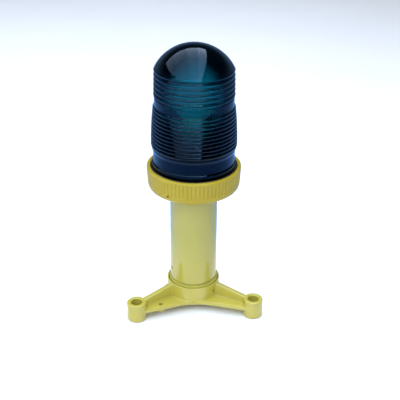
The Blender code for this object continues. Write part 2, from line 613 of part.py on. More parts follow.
def make_battery_pack(plastic, cell_skin, steel, spring_steel, parent):
    """The carrier that hangs in the tube, its two cells, contacts, lid and screws."""
    seat = HEAD_FLOOR_TOP + GAP
    flange_top = seat + CARRIER_FLANGE_THICKNESS
    floor = 2.0 * MM
    carrier = turned("battery_carrier", plastic, [
        (0, 0), (CARRIER_RADIUS, 0), (CARRIER_RADIUS, seat - CARRIER_BOTTOM),
        (CARRIER_FLANGE_RADIUS, seat - CARRIER_BOTTOM), (CARRIER_FLANGE_RADIUS, flange_top - CARRIER_BOTTOM),
        (CARRIER_BORE_RADIUS, flange_top - CARRIER_BOTTOM), (CARRIER_BORE_RADIUS, floor), (0, floor)],
        CARRIER_BOTTOM, parent)
    holes = bmesh.new()
    for angle in thirds(ARM_ANGLES[0]):
        add_turned(holes, rod_profile(SCREW_CLEARANCE_RADIUS, 8.0 * MM),
                   upright(CARRIER_SCREW_CIRCLE, angle, seat - 3 * MM), 12)
    add_block(holes, (1.4 * MM, 7.0 * MM, 8.0 * MM), upright(21.9 * MM, 0.0, seat - 3 * MM))
    combine(carrier, holes, "carrier_holes")

    nub = 1.4 * MM
    cell = [(0, 0), (CELL_RADIUS - 0.8 * MM, 0), (CELL_RADIUS, 0.8 * MM),
            (CELL_RADIUS, CELL_LENGTH - nub - 0.8 * MM), (CELL_RADIUS - 0.8 * MM, CELL_LENGTH - nub),
            (4.7 * MM, CELL_LENGTH - nub), (4.7 * MM, CELL_LENGTH), (0, CELL_LENGTH)]
    turned("lower_cell", cell_skin, cell, LOWER_CELL_FOOT, parent, 24)
    turned("upper_cell", cell_skin, cell, LOWER_CELL_FOOT + CELL_LENGTH + GAP, parent, 24)

    wire = 0.5 * MM
    coil = helix(7.0 * MM, CARRIER_BOTTOM + floor + GAP + wire, LOWER_CELL_FOOT - GAP - wire, 2.5)
    wire_curve("contact_spring", spring_steel, coil, wire, parent)
    cell_top = LOWER_CELL_FOOT + 2 * CELL_LENGTH + GAP
    plate_bottom, plate_thickness = cell_top + GAP, 0.6 * MM
    turned("contact_plate", steel, rod_profile(12.0 * MM, plate_thickness), plate_bottom, parent, 24)
    bm = bmesh.new()
    strip_bottom = CARRIER_BOTTOM + 1.0 * MM
    strip_height = BOARD_BOTTOM + 4 * MM - strip_bottom
    add_block(bm, (0.6 * MM, 5.0 * MM, strip_height), upright(CARRIER_RADIUS + GAP + 0.6 * MM, 0.0, 0.0))
    to_object(bm, "return_strip", steel, (0, 0, strip_bottom), parent)

    lid_bottom = plate_bottom + plate_thickness + GAP
    lid = [(0, lid_bottom), (13.0 * MM, lid_bottom), (13.0 * MM, flange_top + GAP),
           (20.6 * MM, flange_top + GAP), (20.6 * MM, flange_top + 3.6 * MM), (0, flange_top + 3.6 * MM)]
    turned("battery_lid", plastic, lid, parent=parent, segments=28)
    make_pan_screws("carrier_screw", steel, CARRIER_SCREW_CIRCLE, thirds(ARM_ANGLES[0]), flange_top + GAP,
                    2.6 * MM, 3.2 * MM, parent)


def make_pan_screws(name, steel, circle, angles, seat, head_radius, shank_length, parent):
    """Upright pan-head screws on a circle, each with its head on the seat and its shank below it."""
    head_height = head_radius * 0.65
    outline = [(0, -shank_length), (SCREW_SHANK_RADIUS, -shank_length), (SCREW_SHANK_RADIUS, 0),
               (head_radius, 0), (head_radius, head_height * 0.6), (head_radius * 0.72, head_height),
               (0, head_height)]
    for number, angle in enumerate(angles, start=1):
        bm = bmesh.new()
        add_turned(bm, outline, segments=10)
        to_object(bm, f"{name}_{number}", steel, polar(circle, angle, seat), parent)


def make_driver(board_green, black, brass, parent):
    """The ring-shaped driver board on its spacers, with its components, and the tray's standoffs."""
    spacer_foot = HEAD_FLOOR_TOP + GAP
    board_top = BOARD_BOTTOM + BOARD_THICKNESS
    board = turned("circuit_board", board_green, ring_profile(32.5 * MM, 42.5 * MM, 0, BOARD_THICKNESS),
                   BOARD_BOTTOM, parent)
    holes = bmesh.new()
    for angle in POST_ANGLES:
        add_turned(holes, rod_profile(SCREW_CLEARANCE_RADIUS, 10 * MM),
                   upright(POST_CIRCLE, angle, BOARD_BOTTOM - 4 * MM), 12)
    combine(board, holes, "board_holes")

    hexagon = polygon(6, 3.4 * MM)
    for number, angle in enumerate(POST_ANGLES, start=1):
        spot = polar(POST_CIRCLE, angle)
        spacer, standoff, thread = bmesh.new(), bmesh.new(), bmesh.new()
        add_prism(spacer, hexagon, spacer_foot, BOARD_BOTTOM - GAP)
        to_object(spacer, f"board_spacer_{number}", brass, spot, parent)
        add_prism(standoff, hexagon, board_top + GAP, TRAY_BOTTOM - GAP)
        post = to_object(standoff, f"tray_standoff_{number}", brass, spot, parent)
        add_turned(thread, rod_profile(SCREW_CLEARANCE_RADIUS, 10 * MM),
                   upright(POST_CIRCLE, angle, TRAY_BOTTOM - 5 * MM), 12)
        combine(post, thread, f"tray_standoff_{number}_thread")

    seat = board_top + GAP
    for number, angle in enumerate((75.0, 105.0), start=1):
        bm = bmesh.new()
        add_turned(bm, rod_profile(3.6 * MM, 5.2 * MM, 0.5 * MM), segments=14)
        to_object(bm, f"capacitor_{number}", black, polar(POST_CIRCLE, angle, seat), parent)
    blocks = {"inductor": (7.4, 7.4, 4.0, 195.0), "driver_chip": (5.0, 6.2, 1.6, 225.0),
              "lead_connector": (5.0, 8.0, 4.6, LEAD_ANGLE)}
    for name, (deep, wide, tall, angle) in blocks.items():
        bm = bmesh.new()
        add_block(bm, (deep * MM, wide * MM, tall * MM))
        block = to_object(bm, name, black, parent=parent)
        block.matrix_world = upright(POST_CIRCLE, angle, seat)


def make_lamp(aluminium, board_white, black, steel, wire_red, parent):
    """The lamp: tray, stem, hexagonal LED block, its boards and LEDs, and the finned heat sink."""
    tray_top = TRAY_BOTTOM + TRAY_THICKNESS
    lip = 1.2 * MM
    tray = turned("lamp_tray", black, [
        (STEM_BORE_RADIUS, TRAY_BOTTOM), (TRAY_RADIUS, TRAY_BOTTOM), (TRAY_RADIUS, tray_top + lip),
        (TRAY_RADIUS - 1.5 * MM, tray_top + lip), (TRAY_RADIUS - 1.5 * MM, tray_top),
        (STEM_BORE_RADIUS, tray_top)], parent=parent)
    holes = bmesh.new()
    for angle in POST_ANGLES:
        add_turned(holes, rod_profile(SCREW_CLEARANCE_RADIUS, 10 * MM),
                   upright(POST_CIRCLE, angle, TRAY_BOTTOM - 3 * MM), 12)
    add_turned(holes, rod_profile(4.0 * MM, 10 * MM), upright(SWITCH_CIRCLE, SWITCH_ANGLE,
                                                              TRAY_BOTTOM - 3 * MM), 16)
    combine(tray, holes, "tray_holes")
    make_pan_screws("tray_screw", steel, POST_CIRCLE, POST_ANGLES, tray_top + GAP, 3.2 * MM, 6.4 * MM, parent)

    stem_foot = tray_top + GAP
    stem_top = LED_BLOCK_BOTTOM - GAP
    stem = [(STEM_BORE_RADIUS, 0), (14.0 * MM, 0), (14.0 * MM, 2.4 * MM), (STEM_RADIUS, 3.6 * MM),
            (STEM_RADIUS, stem_top - stem_foot), (STEM_BORE_RADIUS, stem_top - stem_foot)]
    turned("lamp_stem", aluminium, stem, stem_foot, parent, 24)

    corner = LED_BLOCK_APOTHEM / math.cos(math.radians(30.0))
    bm = bmesh.new()
    add_prism(bm, polygon(6, corner), 0.0, LED_BLOCK_HEIGHT)
    block = to_object(bm, "led_block", aluminium, (0, 0, LED_BLOCK_BOTTOM), parent, smooth=30.0)
    bore = bmesh.new()
    lead_bore, screw_bore = 14.0 * MM, 12.0 * MM
    add_turned(bore, rod_profile(STEM_BORE_RADIUS - 1 * MM, lead_bore),
               Matrix.Translation((0, 0, LED_BLOCK_BOTTOM - 2 * MM)), 20)
    add_turned(bore, rod_profile(2.3 * MM, screw_bore + 2 * MM),
               Matrix.Translation((0, 0, LED_BLOCK_BOTTOM + LED_BLOCK_HEIGHT - screw_bore)), 16)
    combine(block, bore, "block_bores")

    board_inner = corner + GAP / math.cos(math.radians(30.0))
    board_outer = board_inner + 1.2 * MM
    board_bottom, board_top = LED_BLOCK_BOTTOM + 2 * MM, LED_BLOCK_BOTTOM + LED_BLOCK_HEIGHT - 2 * MM
    bm = bmesh.new()
    add_turned(bm, ring_profile(board_inner, board_outer, board_bottom, board_top), segments=6)
    led_board = to_object(bm, "led_board", board_white, parent=parent, smooth=30.0)
    emitters = bmesh.new()
    face = board_outer * math.cos(math.radians(30.0))
    dome = [(0, -0.5 * MM), (3.4 * MM, -0.5 * MM), (3.4 * MM, 0.8 * MM), (2.6 * MM, 2.5 * MM), (0, 3.5 * MM)]
    add_many(emitters, dome, [facing_out(face, 30.0 + 60.0 * side, LED_HEIGHT) for side in range(6)], 10)
    combine(led_board, emitters, "led_emitters", "UNION")

    make_heat_sink(aluminium, steel, parent)
    make_lamp_lead(wire_red, parent)


def make_lamp_lead(sleeve, parent):
    """The two-core lead from the board's connector, in under the tray and up the lamp stem's bore."""
    level = 183.2 * MM
    bend = 5.0 * MM
    start = POST_CIRCLE - 2.8 * MM
    top = LED_BLOCK_BOTTOM + 10.0 * MM
    steps = 5
    reach = [(start + (bend - start) * step / steps, level) for step in range(steps)]
    turn = [math.radians(90.0 * step / 6) for step in range(7)]
    corner = [(bend * (1 - math.sin(angle)), level + bend * (1 - math.cos(angle))) for angle in turn]
    rise = [(0.0, level + bend + (top - level - bend) * step / steps) for step in range(1, steps + 1)]
    route = [polar(radius, LEAD_ANGLE, height) for radius, height in reach + corner + rise]
    wire_curve("lamp_lead", sleeve, route, 1.5 * MM, parent)


def make_heat_sink(aluminium, steel, parent):
    """The round finned heat sink on top of the LED block, and the screw that holds both down."""
    bm = bmesh.new()
    add_turned(bm, [(0, 0), (HEAT_SINK_RADIUS - 1 * MM, 0), (HEAT_SINK_RADIUS, 1 * MM),
                    (HEAT_SINK_RADIUS, HEAT_SINK_PLATE), (0, HEAT_SINK_PLATE)], segments=32)
    sink = to_object(bm, "heat_sink", aluminium, (0, 0, HEAT_SINK_BOTTOM), parent, smooth=30.0)
    fins = bmesh.new()
    pitch = 2 * (HEAT_SINK_RADIUS - 3 * MM) / (HEAT_SINK_FINS - 1)
    for step in range(HEAT_SINK_FINS):
        across = -(HEAT_SINK_RADIUS - 3 * MM) + pitch * step
        half = math.sqrt((HEAT_SINK_RADIUS - 0.8 * MM) ** 2 - across ** 2)
        size = (2 * half, 1.6 * MM, HEAT_SINK_FIN_HEIGHT + HEAT_SINK_PLATE / 2)
        add_block(fins, size, Matrix.Translation((0, across, HEAT_SINK_BOTTOM + HEAT_SINK_PLATE / 2)))
    combine(sink, fins, "sink_fins", "UNION")
    hole = bmesh.new()
    add_turned(hole, [(0, -2 * MM), (2.3 * MM, -2 * MM), (2.3 * MM, HEAT_SINK_PLATE), (5.0 * MM, HEAT_SINK_PLATE),
                      (5.0 * MM, 15 * MM), (0, 15 * MM)], Matrix.Translation((0, 0, HEAT_SINK_BOTTOM)), 20)
    combine(sink, hole, "sink_hole")
    bm = bmesh.new()
    outline = [(0, -11.0 * MM), (2.0 * MM, -11.0 * MM), (2.0 * MM, 0), (4.0 * MM, 0), (4.0 * MM, 1.4 * MM),
               (2.9 * MM, 2.6 * MM), (0, 2.6 * MM)]
    add_turned(bm, outline, segments=20)
    to_object(bm, "heat_sink_screw", steel, (0, 0, HEAT_SINK_BOTTOM + HEAT_SINK_PLATE + GAP), parent)


def make_switch(black, red, parent):
    """The push switch on the lamp tray. Its button's origin is on the button's own axis."""
    seat = TRAY_BOTTOM + TRAY_THICKNESS + GAP
    place = polar(SWITCH_CIRCLE, SWITCH_ANGLE, seat)
    stem_radius, well = 2.6 * MM, 3.2 * MM
    body = [(0, -4.0 * MM), (3.6 * MM, -4.0 * MM), (3.6 * MM, 0), (SWITCH_BODY_RADIUS, 0),
            (SWITCH_BODY_RADIUS, SWITCH_BODY_HEIGHT), (stem_radius + GAP, SWITCH_BODY_HEIGHT),
            (stem_radius + GAP, SWITCH_BODY_HEIGHT - well), (0, SWITCH_BODY_HEIGHT - well)]
    bm = bmesh.new()
    add_turned(bm, body, segments=20)
    to_object(bm, "switch_body", black, place, parent)
    reach = well - BUTTON_TRAVEL - GAP
    cap_bottom = BUTTON_TRAVEL + GAP
    button = [(0, -reach), (stem_radius, -reach), (stem_radius, cap_bottom), (4.4 * MM, cap_bottom),
              (4.4 * MM, cap_bottom + 1.6 * MM), (3.6 * MM, cap_bottom + 2.2 * MM), (0, cap_bottom + 2.2 * MM)]
    bm = bmesh.new()
    add_turned(bm, button, segments=18)
    to_object(bm, "switch_button", red, place + Vector((0, 0, SWITCH_BODY_HEIGHT)), parent)


def build():
    """Build the beacon from the base up, then the lens unit and what it covers."""
    clear_scene()
    lens_unit = group("lens_unit")
    battery_unit = group("battery_unit")
    lamp_unit = group("lamp_unit")

    yellow = finish("yellow_powder_coat", (0.58, 0.54, 0.15), 0.32)
    golden = finish("golden_powder_coat", (0.50, 0.42, 0.12), 0.38)
    olive = finish("olive_cast_metal", (0.33, 0.30, 0.07), 0.5)
    steel = finish("zinc_plated_steel", (0.55, 0.55, 0.55), 0.35, 1.0)
    spring_steel = finish("spring_steel", (0.5, 0.5, 0.48), 0.3, 1.0)
    aluminium = finish("bare_aluminium", (0.75, 0.76, 0.78), 0.35, 1.0)
    brass = finish("nickel_plated_brass", (0.62, 0.58, 0.46), 0.3, 1.0)
    rubber = finish("black_rubber", (0.012, 0.012, 0.014), 0.45)
    slip = finish("white_acetal", (0.75, 0.75, 0.72), 0.4)
    black = finish("black_plastic", (0.02, 0.02, 0.022), 0.45)
    green = finish("green_circuit_board", (0.02, 0.16, 0.06), 0.4)
    board_white = finish("white_led_board", (0.8, 0.8, 0.8), 0.4)
    cell_skin = finish("cell_sleeve", (0.05, 0.07, 0.12), 0.3)
    wire_red = finish("red_wire_sleeve", (0.45, 0.03, 0.02), 0.4)
    button_red = finish("red_button_cap", (0.5, 0.03, 0.02), 0.35)
    glass = finish("blue_glass", (0.01, 0.10, 0.20), 0.05, 0.0, 0.9)

    make_base(yellow)
    make_base_plug(black, rubber)
    make_coupling(olive, steel)
    make_tube(yellow, steel)
    make_head(golden, steel)
    make_battery_pack(black, cell_skin, steel, spring_steel, battery_unit)
    make_driver(green, black, brass, lamp_unit)
    make_lamp(aluminium, board_white, black, steel, wire_red, lamp_unit)
    make_switch(black, button_red, lamp_unit)
    make_head_seal(rubber, slip, lens_unit)
    make_clamp_ring(golden, steel, lens_unit)
    make_gasket(rubber, lens_unit)
    make_lens(glass, lens_unit)


build()
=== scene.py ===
import math

import bpy
import numpy as np
from mathutils import Matrix, Vector


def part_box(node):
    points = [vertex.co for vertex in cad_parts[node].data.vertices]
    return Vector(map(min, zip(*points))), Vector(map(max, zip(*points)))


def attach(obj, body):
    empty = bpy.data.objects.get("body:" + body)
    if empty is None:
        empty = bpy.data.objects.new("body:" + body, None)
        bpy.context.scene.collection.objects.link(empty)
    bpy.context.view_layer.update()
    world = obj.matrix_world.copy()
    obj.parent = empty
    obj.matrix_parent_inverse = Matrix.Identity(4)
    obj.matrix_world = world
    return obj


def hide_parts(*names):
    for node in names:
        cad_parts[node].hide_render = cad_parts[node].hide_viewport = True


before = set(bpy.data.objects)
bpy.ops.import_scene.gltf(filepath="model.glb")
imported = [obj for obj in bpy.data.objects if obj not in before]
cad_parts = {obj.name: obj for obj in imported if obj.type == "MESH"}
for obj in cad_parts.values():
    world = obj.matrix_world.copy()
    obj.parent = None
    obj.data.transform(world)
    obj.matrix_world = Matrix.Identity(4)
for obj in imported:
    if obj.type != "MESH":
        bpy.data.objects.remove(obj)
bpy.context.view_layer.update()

# ---------------------------------------------------------------------------------------------
# Base casting. A pressure die casting in aluminium: a hub and three ribbed arms that end in bolt
# bosses. Every inner corner has a cast fillet and every edge a small radius, and the whole casting
# is powder coated pale yellow.
MM = 0.001
ARMS = (90.0, 210.0, 330.0)


def add_node(tree, kind, inputs, **settings):
    """Add one shader node. An input is given a value, or another node's output to be linked to."""
    made = tree.nodes.new(kind)
    for name, value in settings.items():
        setattr(made, name, value)
    for name, value in inputs.items():
        if isinstance(value, bpy.types.NodeSocket):
            tree.links.new(value, made.inputs[name])
        else:
            made.inputs[name].default_value = value
    return made


def linear(code):
    """An sRGB hex colour as linear red, green, blue and alpha."""
    parts = np.array([int(code[place:place + 2], 16) for place in (1, 3, 5)]) / 255
    return (*np.where(parts <= 0.04045, parts / 12.92, ((parts + 0.055) / 1.055) ** 2.4), 1.0)


def finish(name, hues, patch, gloss, grain, depth, metallic=0.0, stretch=(1.0, 1.0, 1.0), glare=0.5):
    """A surface finish. Noise in patches of `patch` mm mixes two hues and swings the roughness between
    the two values of gloss; noise in grains of `grain` mm makes a relief `depth` mm high. stretch
    squeezes both along an axis, as turning and drawing do, and glare is the strength of its reflections."""
    material = bpy.data.materials.new(name)
    material.use_nodes = True
    tree = material.node_tree
    shader = tree.nodes["Principled BSDF"]
    place = add_node(tree, "ShaderNodeTexCoord", {})
    way = add_node(tree, "ShaderNodeMapping", {"Vector": place.outputs["Object"], "Scale": stretch})
    patches = add_node(tree, "ShaderNodeTexNoise", {"Vector": way.outputs[0], "Scale": 1 / (patch * MM)})
    spread = add_node(tree, "ShaderNodeMapRange", {0: patches.outputs[0], 1: 0.3, 2: 0.7})
    hue = add_node(tree, "ShaderNodeMix", {0: spread.outputs[0], 6: linear(hues[0]), 7: linear(hues[1])},
                   data_type="RGBA")
    sheen = add_node(tree, "ShaderNodeMapRange", {0: patches.outputs[0], 1: 0.3, 2: 0.7,
                                                  3: gloss[0], 4: gloss[1]})
    grains = add_node(tree, "ShaderNodeTexNoise", {"Vector": way.outputs[0], "Scale": 1 / (grain * MM)})
    relief = add_node(tree, "ShaderNodeBump", {"Height": grains.outputs[0], "Distance": depth * MM})
    shader.inputs["Metallic"].default_value = metallic
    shader.inputs["Specular IOR Level"].default_value = glare
    tree.links.new(hue.outputs[2], shader.inputs["Base Color"])
    tree.links.new(sheen.outputs[0], shader.inputs["Roughness"])
    tree.links.new(relief.outputs[0], shader.inputs["Normal"])
    return material


# Polyester powder coat, sprayed dry and baked: glossy, with a faint orange peel about 2 mm across.
powder_yellow = finish("powder_coat_pale_yellow", ("#b2a743", "#b7ac4a"), 30, (0.08, 0.13), 1.6, 0.008,
                       glare=0.8)


def smooth_min(one, other, radius):
    """The smaller of two distances, blended over `radius` where they are nearly equal: a fillet."""
    share = np.clip(0.5 + 0.5 * (other - one) / radius, 0, 1)
    return other + (one - other) * share - radius * share * (1 - share)


def smooth_max(one, other, radius):
    """The larger of two distances, blended over `radius`: a rounded edge."""
    return -smooth_min(-one, -other, radius)


def slab(height, low, high):
    """Distance from the space between two level planes."""
    return np.maximum(low - height, height - high)


def ease(value, low, high):
    """0 below low, 1 above high and a smooth rise between."""
    share = np.clip((value - low) / (high - low), 0, 1)
    return share * share * (3 - 2 * share)


def plate_edge(along, across):
    """Distance in plan from the base plate. An arm's side is a straight line that leans in towards its
    boss, and a 72 mm arc about a point between two arms joins it to the next arm's side."""
    hub_station, hub_half, boss_station, boss_half, saddle = 28.0, 24.5, 87.0, 11.55, 72.0
    taper = math.atan2(hub_half - boss_half, boss_station - hub_station)
    lean = math.radians(30.0) - taper
    corner = (hub_half + hub_station * math.tan(taper)) * math.cos(taper) / math.cos(lean)
    reach = corner + saddle / math.cos(lean)
    middle = np.array([math.cos(math.radians(60.0)), math.sin(math.radians(60.0))])
    side = (along - hub_station) * math.sin(taper) + (across - hub_half) * math.cos(taper)
    off = np.stack([along, across], -1) - reach * middle
    distance = np.linalg.norm(off, axis=-1)
    on_arc = off @ -middle > distance * math.cos(lean)
    return np.maximum(np.where(on_arc, saddle - distance, side), along - boss_station)


def base_distance(points):
    """Signed distance in mm from the casting's skin: plate, hub, ribs and bosses joined with fillets,
    less the hub bore, the cable entry, the bolt holes, the earth hole and the set screw holes."""
    x, y, height = points.T
    radius = np.hypot(x, y)
    turn = np.arctan2(y, x) - math.radians(ARMS[0])
    sector = 2 * math.pi / 3
    fold = (turn + sector / 2) % sector - sector / 2
    along, across = radius * np.cos(fold), np.abs(radius * np.sin(fold))
    plate = smooth_max(plate_edge(along, across), slab(height, 10.5, 16.0), 1.6)
    hub = smooth_max(radius - 34.6, slab(height, 10.0, 35.3), 1.3)
    rib_top = 34.6 - (along - 30.0) * (34.6 - 24.6) / (79.5 - 30.0)
    rib_side = across - 3.3 + 0.25 * ease(height, 16.0, 34.0)
    rib = smooth_max(rib_side, height - rib_top, 1.3)
    rib = np.maximum(rib, np.maximum(slab(along, 30.0, 79.5), 12.0 - height))
    to_boss = np.hypot(along - 88.0, across)
    boss = smooth_max(to_boss - 12.55, slab(height, 0.0, 25.0), 1.9)
    earth = (57.7, 10.4)
    earth_turn = math.radians(ARMS[1])
    earth_x = earth[0] * math.cos(earth_turn) - earth[1] * math.sin(earth_turn)
    earth_y = earth[0] * math.sin(earth_turn) + earth[1] * math.cos(earth_turn)
    to_earth = np.hypot(x - earth_x, y - earth_y)
    earth_boss = smooth_max(to_earth - 5.2, slab(height, 6.7, 15.0), 0.8)

    above_plate = ease(height, 13.0, 15.5)
    below_rim = 1 - ease(height, 29.0, 33.5)
    body = smooth_min(plate, hub, 0.05 + 2.4 * above_plate)
    body = smooth_min(body, rib, 0.05 + (0.6 + 1.5 * below_rim) * above_plate)
    body = smooth_min(body, boss, 0.4 + 1.7 * (1 - ease(height, 20.5, 23.5)))
    body = smooth_min(body, earth_boss, 1.4)
    hub_bore = np.maximum(radius - 32.6, 14.5 - height)
    body = smooth_max(body, -hub_bore, 0.7)
    body = smooth_max(body, 10.0 - radius, 0.6)
    body = smooth_max(body, 7.0 - to_boss, 1.3)
    body = smooth_max(body, 2.75 - to_earth, 0.7)
    for angle in (-41.45, 78.55, 198.55):
        way = np.array([math.cos(math.radians(angle)), math.sin(math.radians(angle))])
        aside = x * way[1] - y * way[0]
        hole = np.maximum(np.hypot(aside, height - 24.4) - 1.4, 25.0 - (x * way[0] + y * way[1]))
        body = smooth_max(body, -hole, 0.3)
    return body


def skin_normals(points, step=0.02):
    """The distance's slope by central differences: which way the skin faces at each point."""
    ways = np.eye(3) * step
    rises = [base_distance(points + way) - base_distance(points - way) for way in ways]
    return np.stack(rises, -1) / (2 * step)


def merged_copy(node):
    """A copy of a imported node's mesh with its loose triangles joined at their shared corners."""
    copy = bpy.data.objects.new(node + "_copy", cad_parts[node].data.copy())
    bpy.context.scene.collection.objects.link(copy)
    weld = copy.modifiers.new("weld", "WELD")
    weld.merge_threshold = 0.00001
    return copy


def settled(piece):
    """Apply a piece's modifiers to its mesh."""
    bpy.context.view_layer.update()
    mesh = bpy.data.meshes.new_from_object(piece.evaluated_get(bpy.context.evaluated_depsgraph_get()))
    piece.modifiers.clear()
    piece.data = mesh
    return mesh


def join_frame(piece, body, nodes):
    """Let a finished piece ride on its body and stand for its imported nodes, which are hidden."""
    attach(piece, body)
    if nodes:
        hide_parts(*nodes)


casting = merged_copy("base_casting")
casting.name = "base_skin"
voxels = casting.modifiers.new("voxels", "REMESH")
voxels.mode = "VOXEL"
voxels.voxel_size = 0.76 * MM
skin = settled(casting)
spots = np.empty(len(skin.vertices) * 3, np.float32)
skin.vertices.foreach_get("co", spots)
spots = spots.reshape(-1, 3).astype(float) / MM
for _ in range(6):
    slope = skin_normals(spots)
    steep = np.maximum((slope ** 2).sum(-1, keepdims=True), 0.1)
    spots -= np.clip(base_distance(spots)[:, None] * slope / steep, -1.0, 1.0)
skin.vertices.foreach_set("co", (spots * MM).ravel())
skin.update()
skin.shade_smooth()
facing = skin_normals(spots)
skin.normals_split_custom_set_from_vertices(facing / np.linalg.norm(facing, axis=-1, keepdims=True))
skin.materials.clear()
skin.materials.append(powder_yellow)
join_frame(casting, "mast", ["base_casting"])

# ---------------------------------------------------------------------------------------------
# Cable entry in the hub floor: a moulded nylon hexagon plug screwed up against a rubber washer.
BLACKS = ("#141416", "#1b1b1d")
black_nylon = finish("moulded_black_nylon", BLACKS, 6, (0.38, 0.5), 0.4, 0.01)
black_rubber = finish("moulded_black_rubber", ("#0e0e10", "#151517"), 5, (0.26, 0.38), 0.6, 0.01)


def rounded(corners, steps=4):
    """The closed outline through (radius, height, round) corners, counter-clockwise. Each corner is cut
    back by its round along both sides and bridged by a parabola that the corner itself pulls on."""
    corners = np.array(corners, float)
    spots, cuts = corners[:, :2], corners[:, 2]
    outline = []
    for spot, cut, last, following in zip(spots, cuts, np.roll(spots, 1, 0), np.roll(spots, -1, 0)):
        if cut == 0:
            outline.append(spot[None])
            continue
        start = spot + (last - spot) / np.linalg.norm(last - spot) * cut
        end = spot + (following - spot) / np.linalg.norm(following - spot) * cut
        share = np.linspace(0, 1, steps + 1)[:, None]
        outline.append((1 - share) ** 2 * start + 2 * share * (1 - share) * spot + share ** 2 * end)
    return np.vstack(outline)


def turned(profile, sides=96, change=None, place=None):
    """Points and four-cornered faces of a profile of (radius, height) mm swept round the Z axis, then
    placed. change(radius, height, turn) may move the points in or out. A point on the axis stays one."""
    radius, height = np.asarray(profile, float).T
    turn = np.linspace(0, 2 * np.pi, sides, endpoint=False)[:, None]
    wide = np.broadcast_to(radius, (sides, len(radius)))
    if change:
        wide = change(wide, height, turn)
    points = np.stack([wide * np.cos(turn), wide * np.sin(turn), np.broadcast_to(height, wide.shape)], -1)
    points = points.reshape(-1, 3) * MM
    if place:
        points = points @ np.array(place.to_3x3()).T + np.array(place.translation)
    number = np.arange(wide.size).reshape(wide.shape)
    number[:, radius < 1e-9] = number[0, radius < 1e-9]
    beside = np.roll(number, -1, 0)
    faces = np.stack([number, beside, np.roll(beside, -1, 1), np.roll(number, -1, 1)], -1)
    return points, faces.reshape(-1, 4)


def mesh_of(name, surfaces):
    """One mesh of several surfaces. A face that meets the axis loses its doubled corner."""
    shift = np.cumsum([0] + [len(points) for points, _ in surfaces])
    points = np.vstack([points for points, _ in surfaces])
    faces = np.vstack([faces + start for (_, faces), start in zip(surfaces, shift)])
    used, faces = np.unique(faces, return_inverse=True)
    faces = faces.reshape(-1, 4)
    low, high = faces[:, 0] == faces[:, 1], faces[:, 2] == faces[:, 3]
    mesh = bpy.data.meshes.new(name)
    mesh.from_pydata(points[used], [], faces[~low & ~high].tolist() + faces[low & ~high][:, 1:].tolist()
                     + faces[high & ~low][:, :3].tolist())
    return mesh


def hide_lines(mesh, angle):
    """Shade smooth but for edges sharper than the angle."""
    mesh.shade_smooth()
    mesh.set_sharp_from_angle(angle=math.radians(angle))


def make(name, surfaces, material, body, nodes, holes=(), angle=35.0, flat=True):
    """A finished piece: its surfaces as one mesh, less the holes, with level faces shaded level."""
    piece = bpy.data.objects.new(name, mesh_of(name, surfaces))
    bpy.context.scene.collection.objects.link(piece)
    if holes:
        cutter = bpy.data.objects.new(name + "_cutter", mesh_of(name + "_cutter", holes))
        bpy.context.scene.collection.objects.link(cutter)
        cut = piece.modifiers.new("holes", "BOOLEAN")
        cut.object = cutter
        settled(piece)
        bpy.data.objects.remove(cutter)
    hide_lines(piece.data, angle)
    piece.data.materials.clear()
    piece.data.materials.append(material)
    if flat:
        level = piece.modifiers.new("level_faces", "WEIGHTED_NORMAL")
        level.keep_sharp = True
    join_frame(piece, body, nodes)
    return piece


def softened(name, node, material, body, width, angle=30.0):
    """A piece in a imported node's own shape, its edges rounded by `width` mm."""
    piece = merged_copy(node)
    piece.name = name
    tidy = piece.modifiers.new("flat_faces", "DECIMATE")
    tidy.decimate_type = "DISSOLVE"
    tidy.angle_limit = math.radians(1.0)
    edge = piece.modifiers.new("edges", "BEVEL")
    edge.width = width * MM
    edge.segments = 2
    edge.limit_method = "ANGLE"
    edge.angle_limit = math.radians(angle)
    settled(piece)
    hide_lines(piece.data, 40.0)
    piece.data.materials.clear()
    piece.data.materials.append(material)
    level = piece.modifiers.new("level_faces", "WEIGHTED_NORMAL")
    level.keep_sharp = True
    join_frame(piece, body, [node])
    return piece


def extent(node):
    """A turned node's greatest radius, bottom and top, in mm, as it was packed."""
    low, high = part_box(node)
    return high.x / MM, low.z / MM, high.z / MM


softened("cable_entry_plug", "base_plug", black_nylon, "mast", 0.35)
wide, bottom, top = extent("plug_seal")
make("cable_entry_washer", [turned(rounded([(10.3, bottom, 0.2), (wide, bottom, 0.3), (wide, top, 0.3),
                                            (10.3, top, 0.2)]))],
     black_rubber, "mast", ["plug_seal"])

# ---------------------------------------------------------------------------------------------
# Break coupling: a turned sleeve, painted over in a duller yellow. Its skirt sits in the hub and its
# spigot in the tube, and between them a vee groove lets the post snap off if it is struck. Only the
# neck shows.
coupling_metal = finish("painted_over_cast_sleeve", ("#bdb552", "#aaa344"), 4, (0.3, 0.45), 0.5, 0.02,
                        stretch=(1.0, 1.0, 3.0))
bore, skirt, neck, groove, spigot = 24.5, 31.9, 29.2, 28.0, 27.0
foot, shoulder, spigot_top, skirt_top = 14.8, 39.3, 64.0, 37.4


def outward(radius, degrees, height):
    """The placement on the mast at this radius, angle and height, mm, whose Z axis points straight out."""
    turn = Matrix.Rotation(math.radians(degrees), 4, "Z")
    lean = Matrix.Rotation(math.radians(90.0), 4, "Y")
    return turn @ Matrix.Translation((radius * MM, 0, height * MM)) @ lean


def rod(radius, start, end, degrees, height, sides=32):
    """A plain round rod that points straight out from the mast axis, for drilling a hole."""
    return turned([(0, 0), (radius, 0), (radius, end - start), (0, end - start)], sides,
                  place=outward(start, degrees, height))


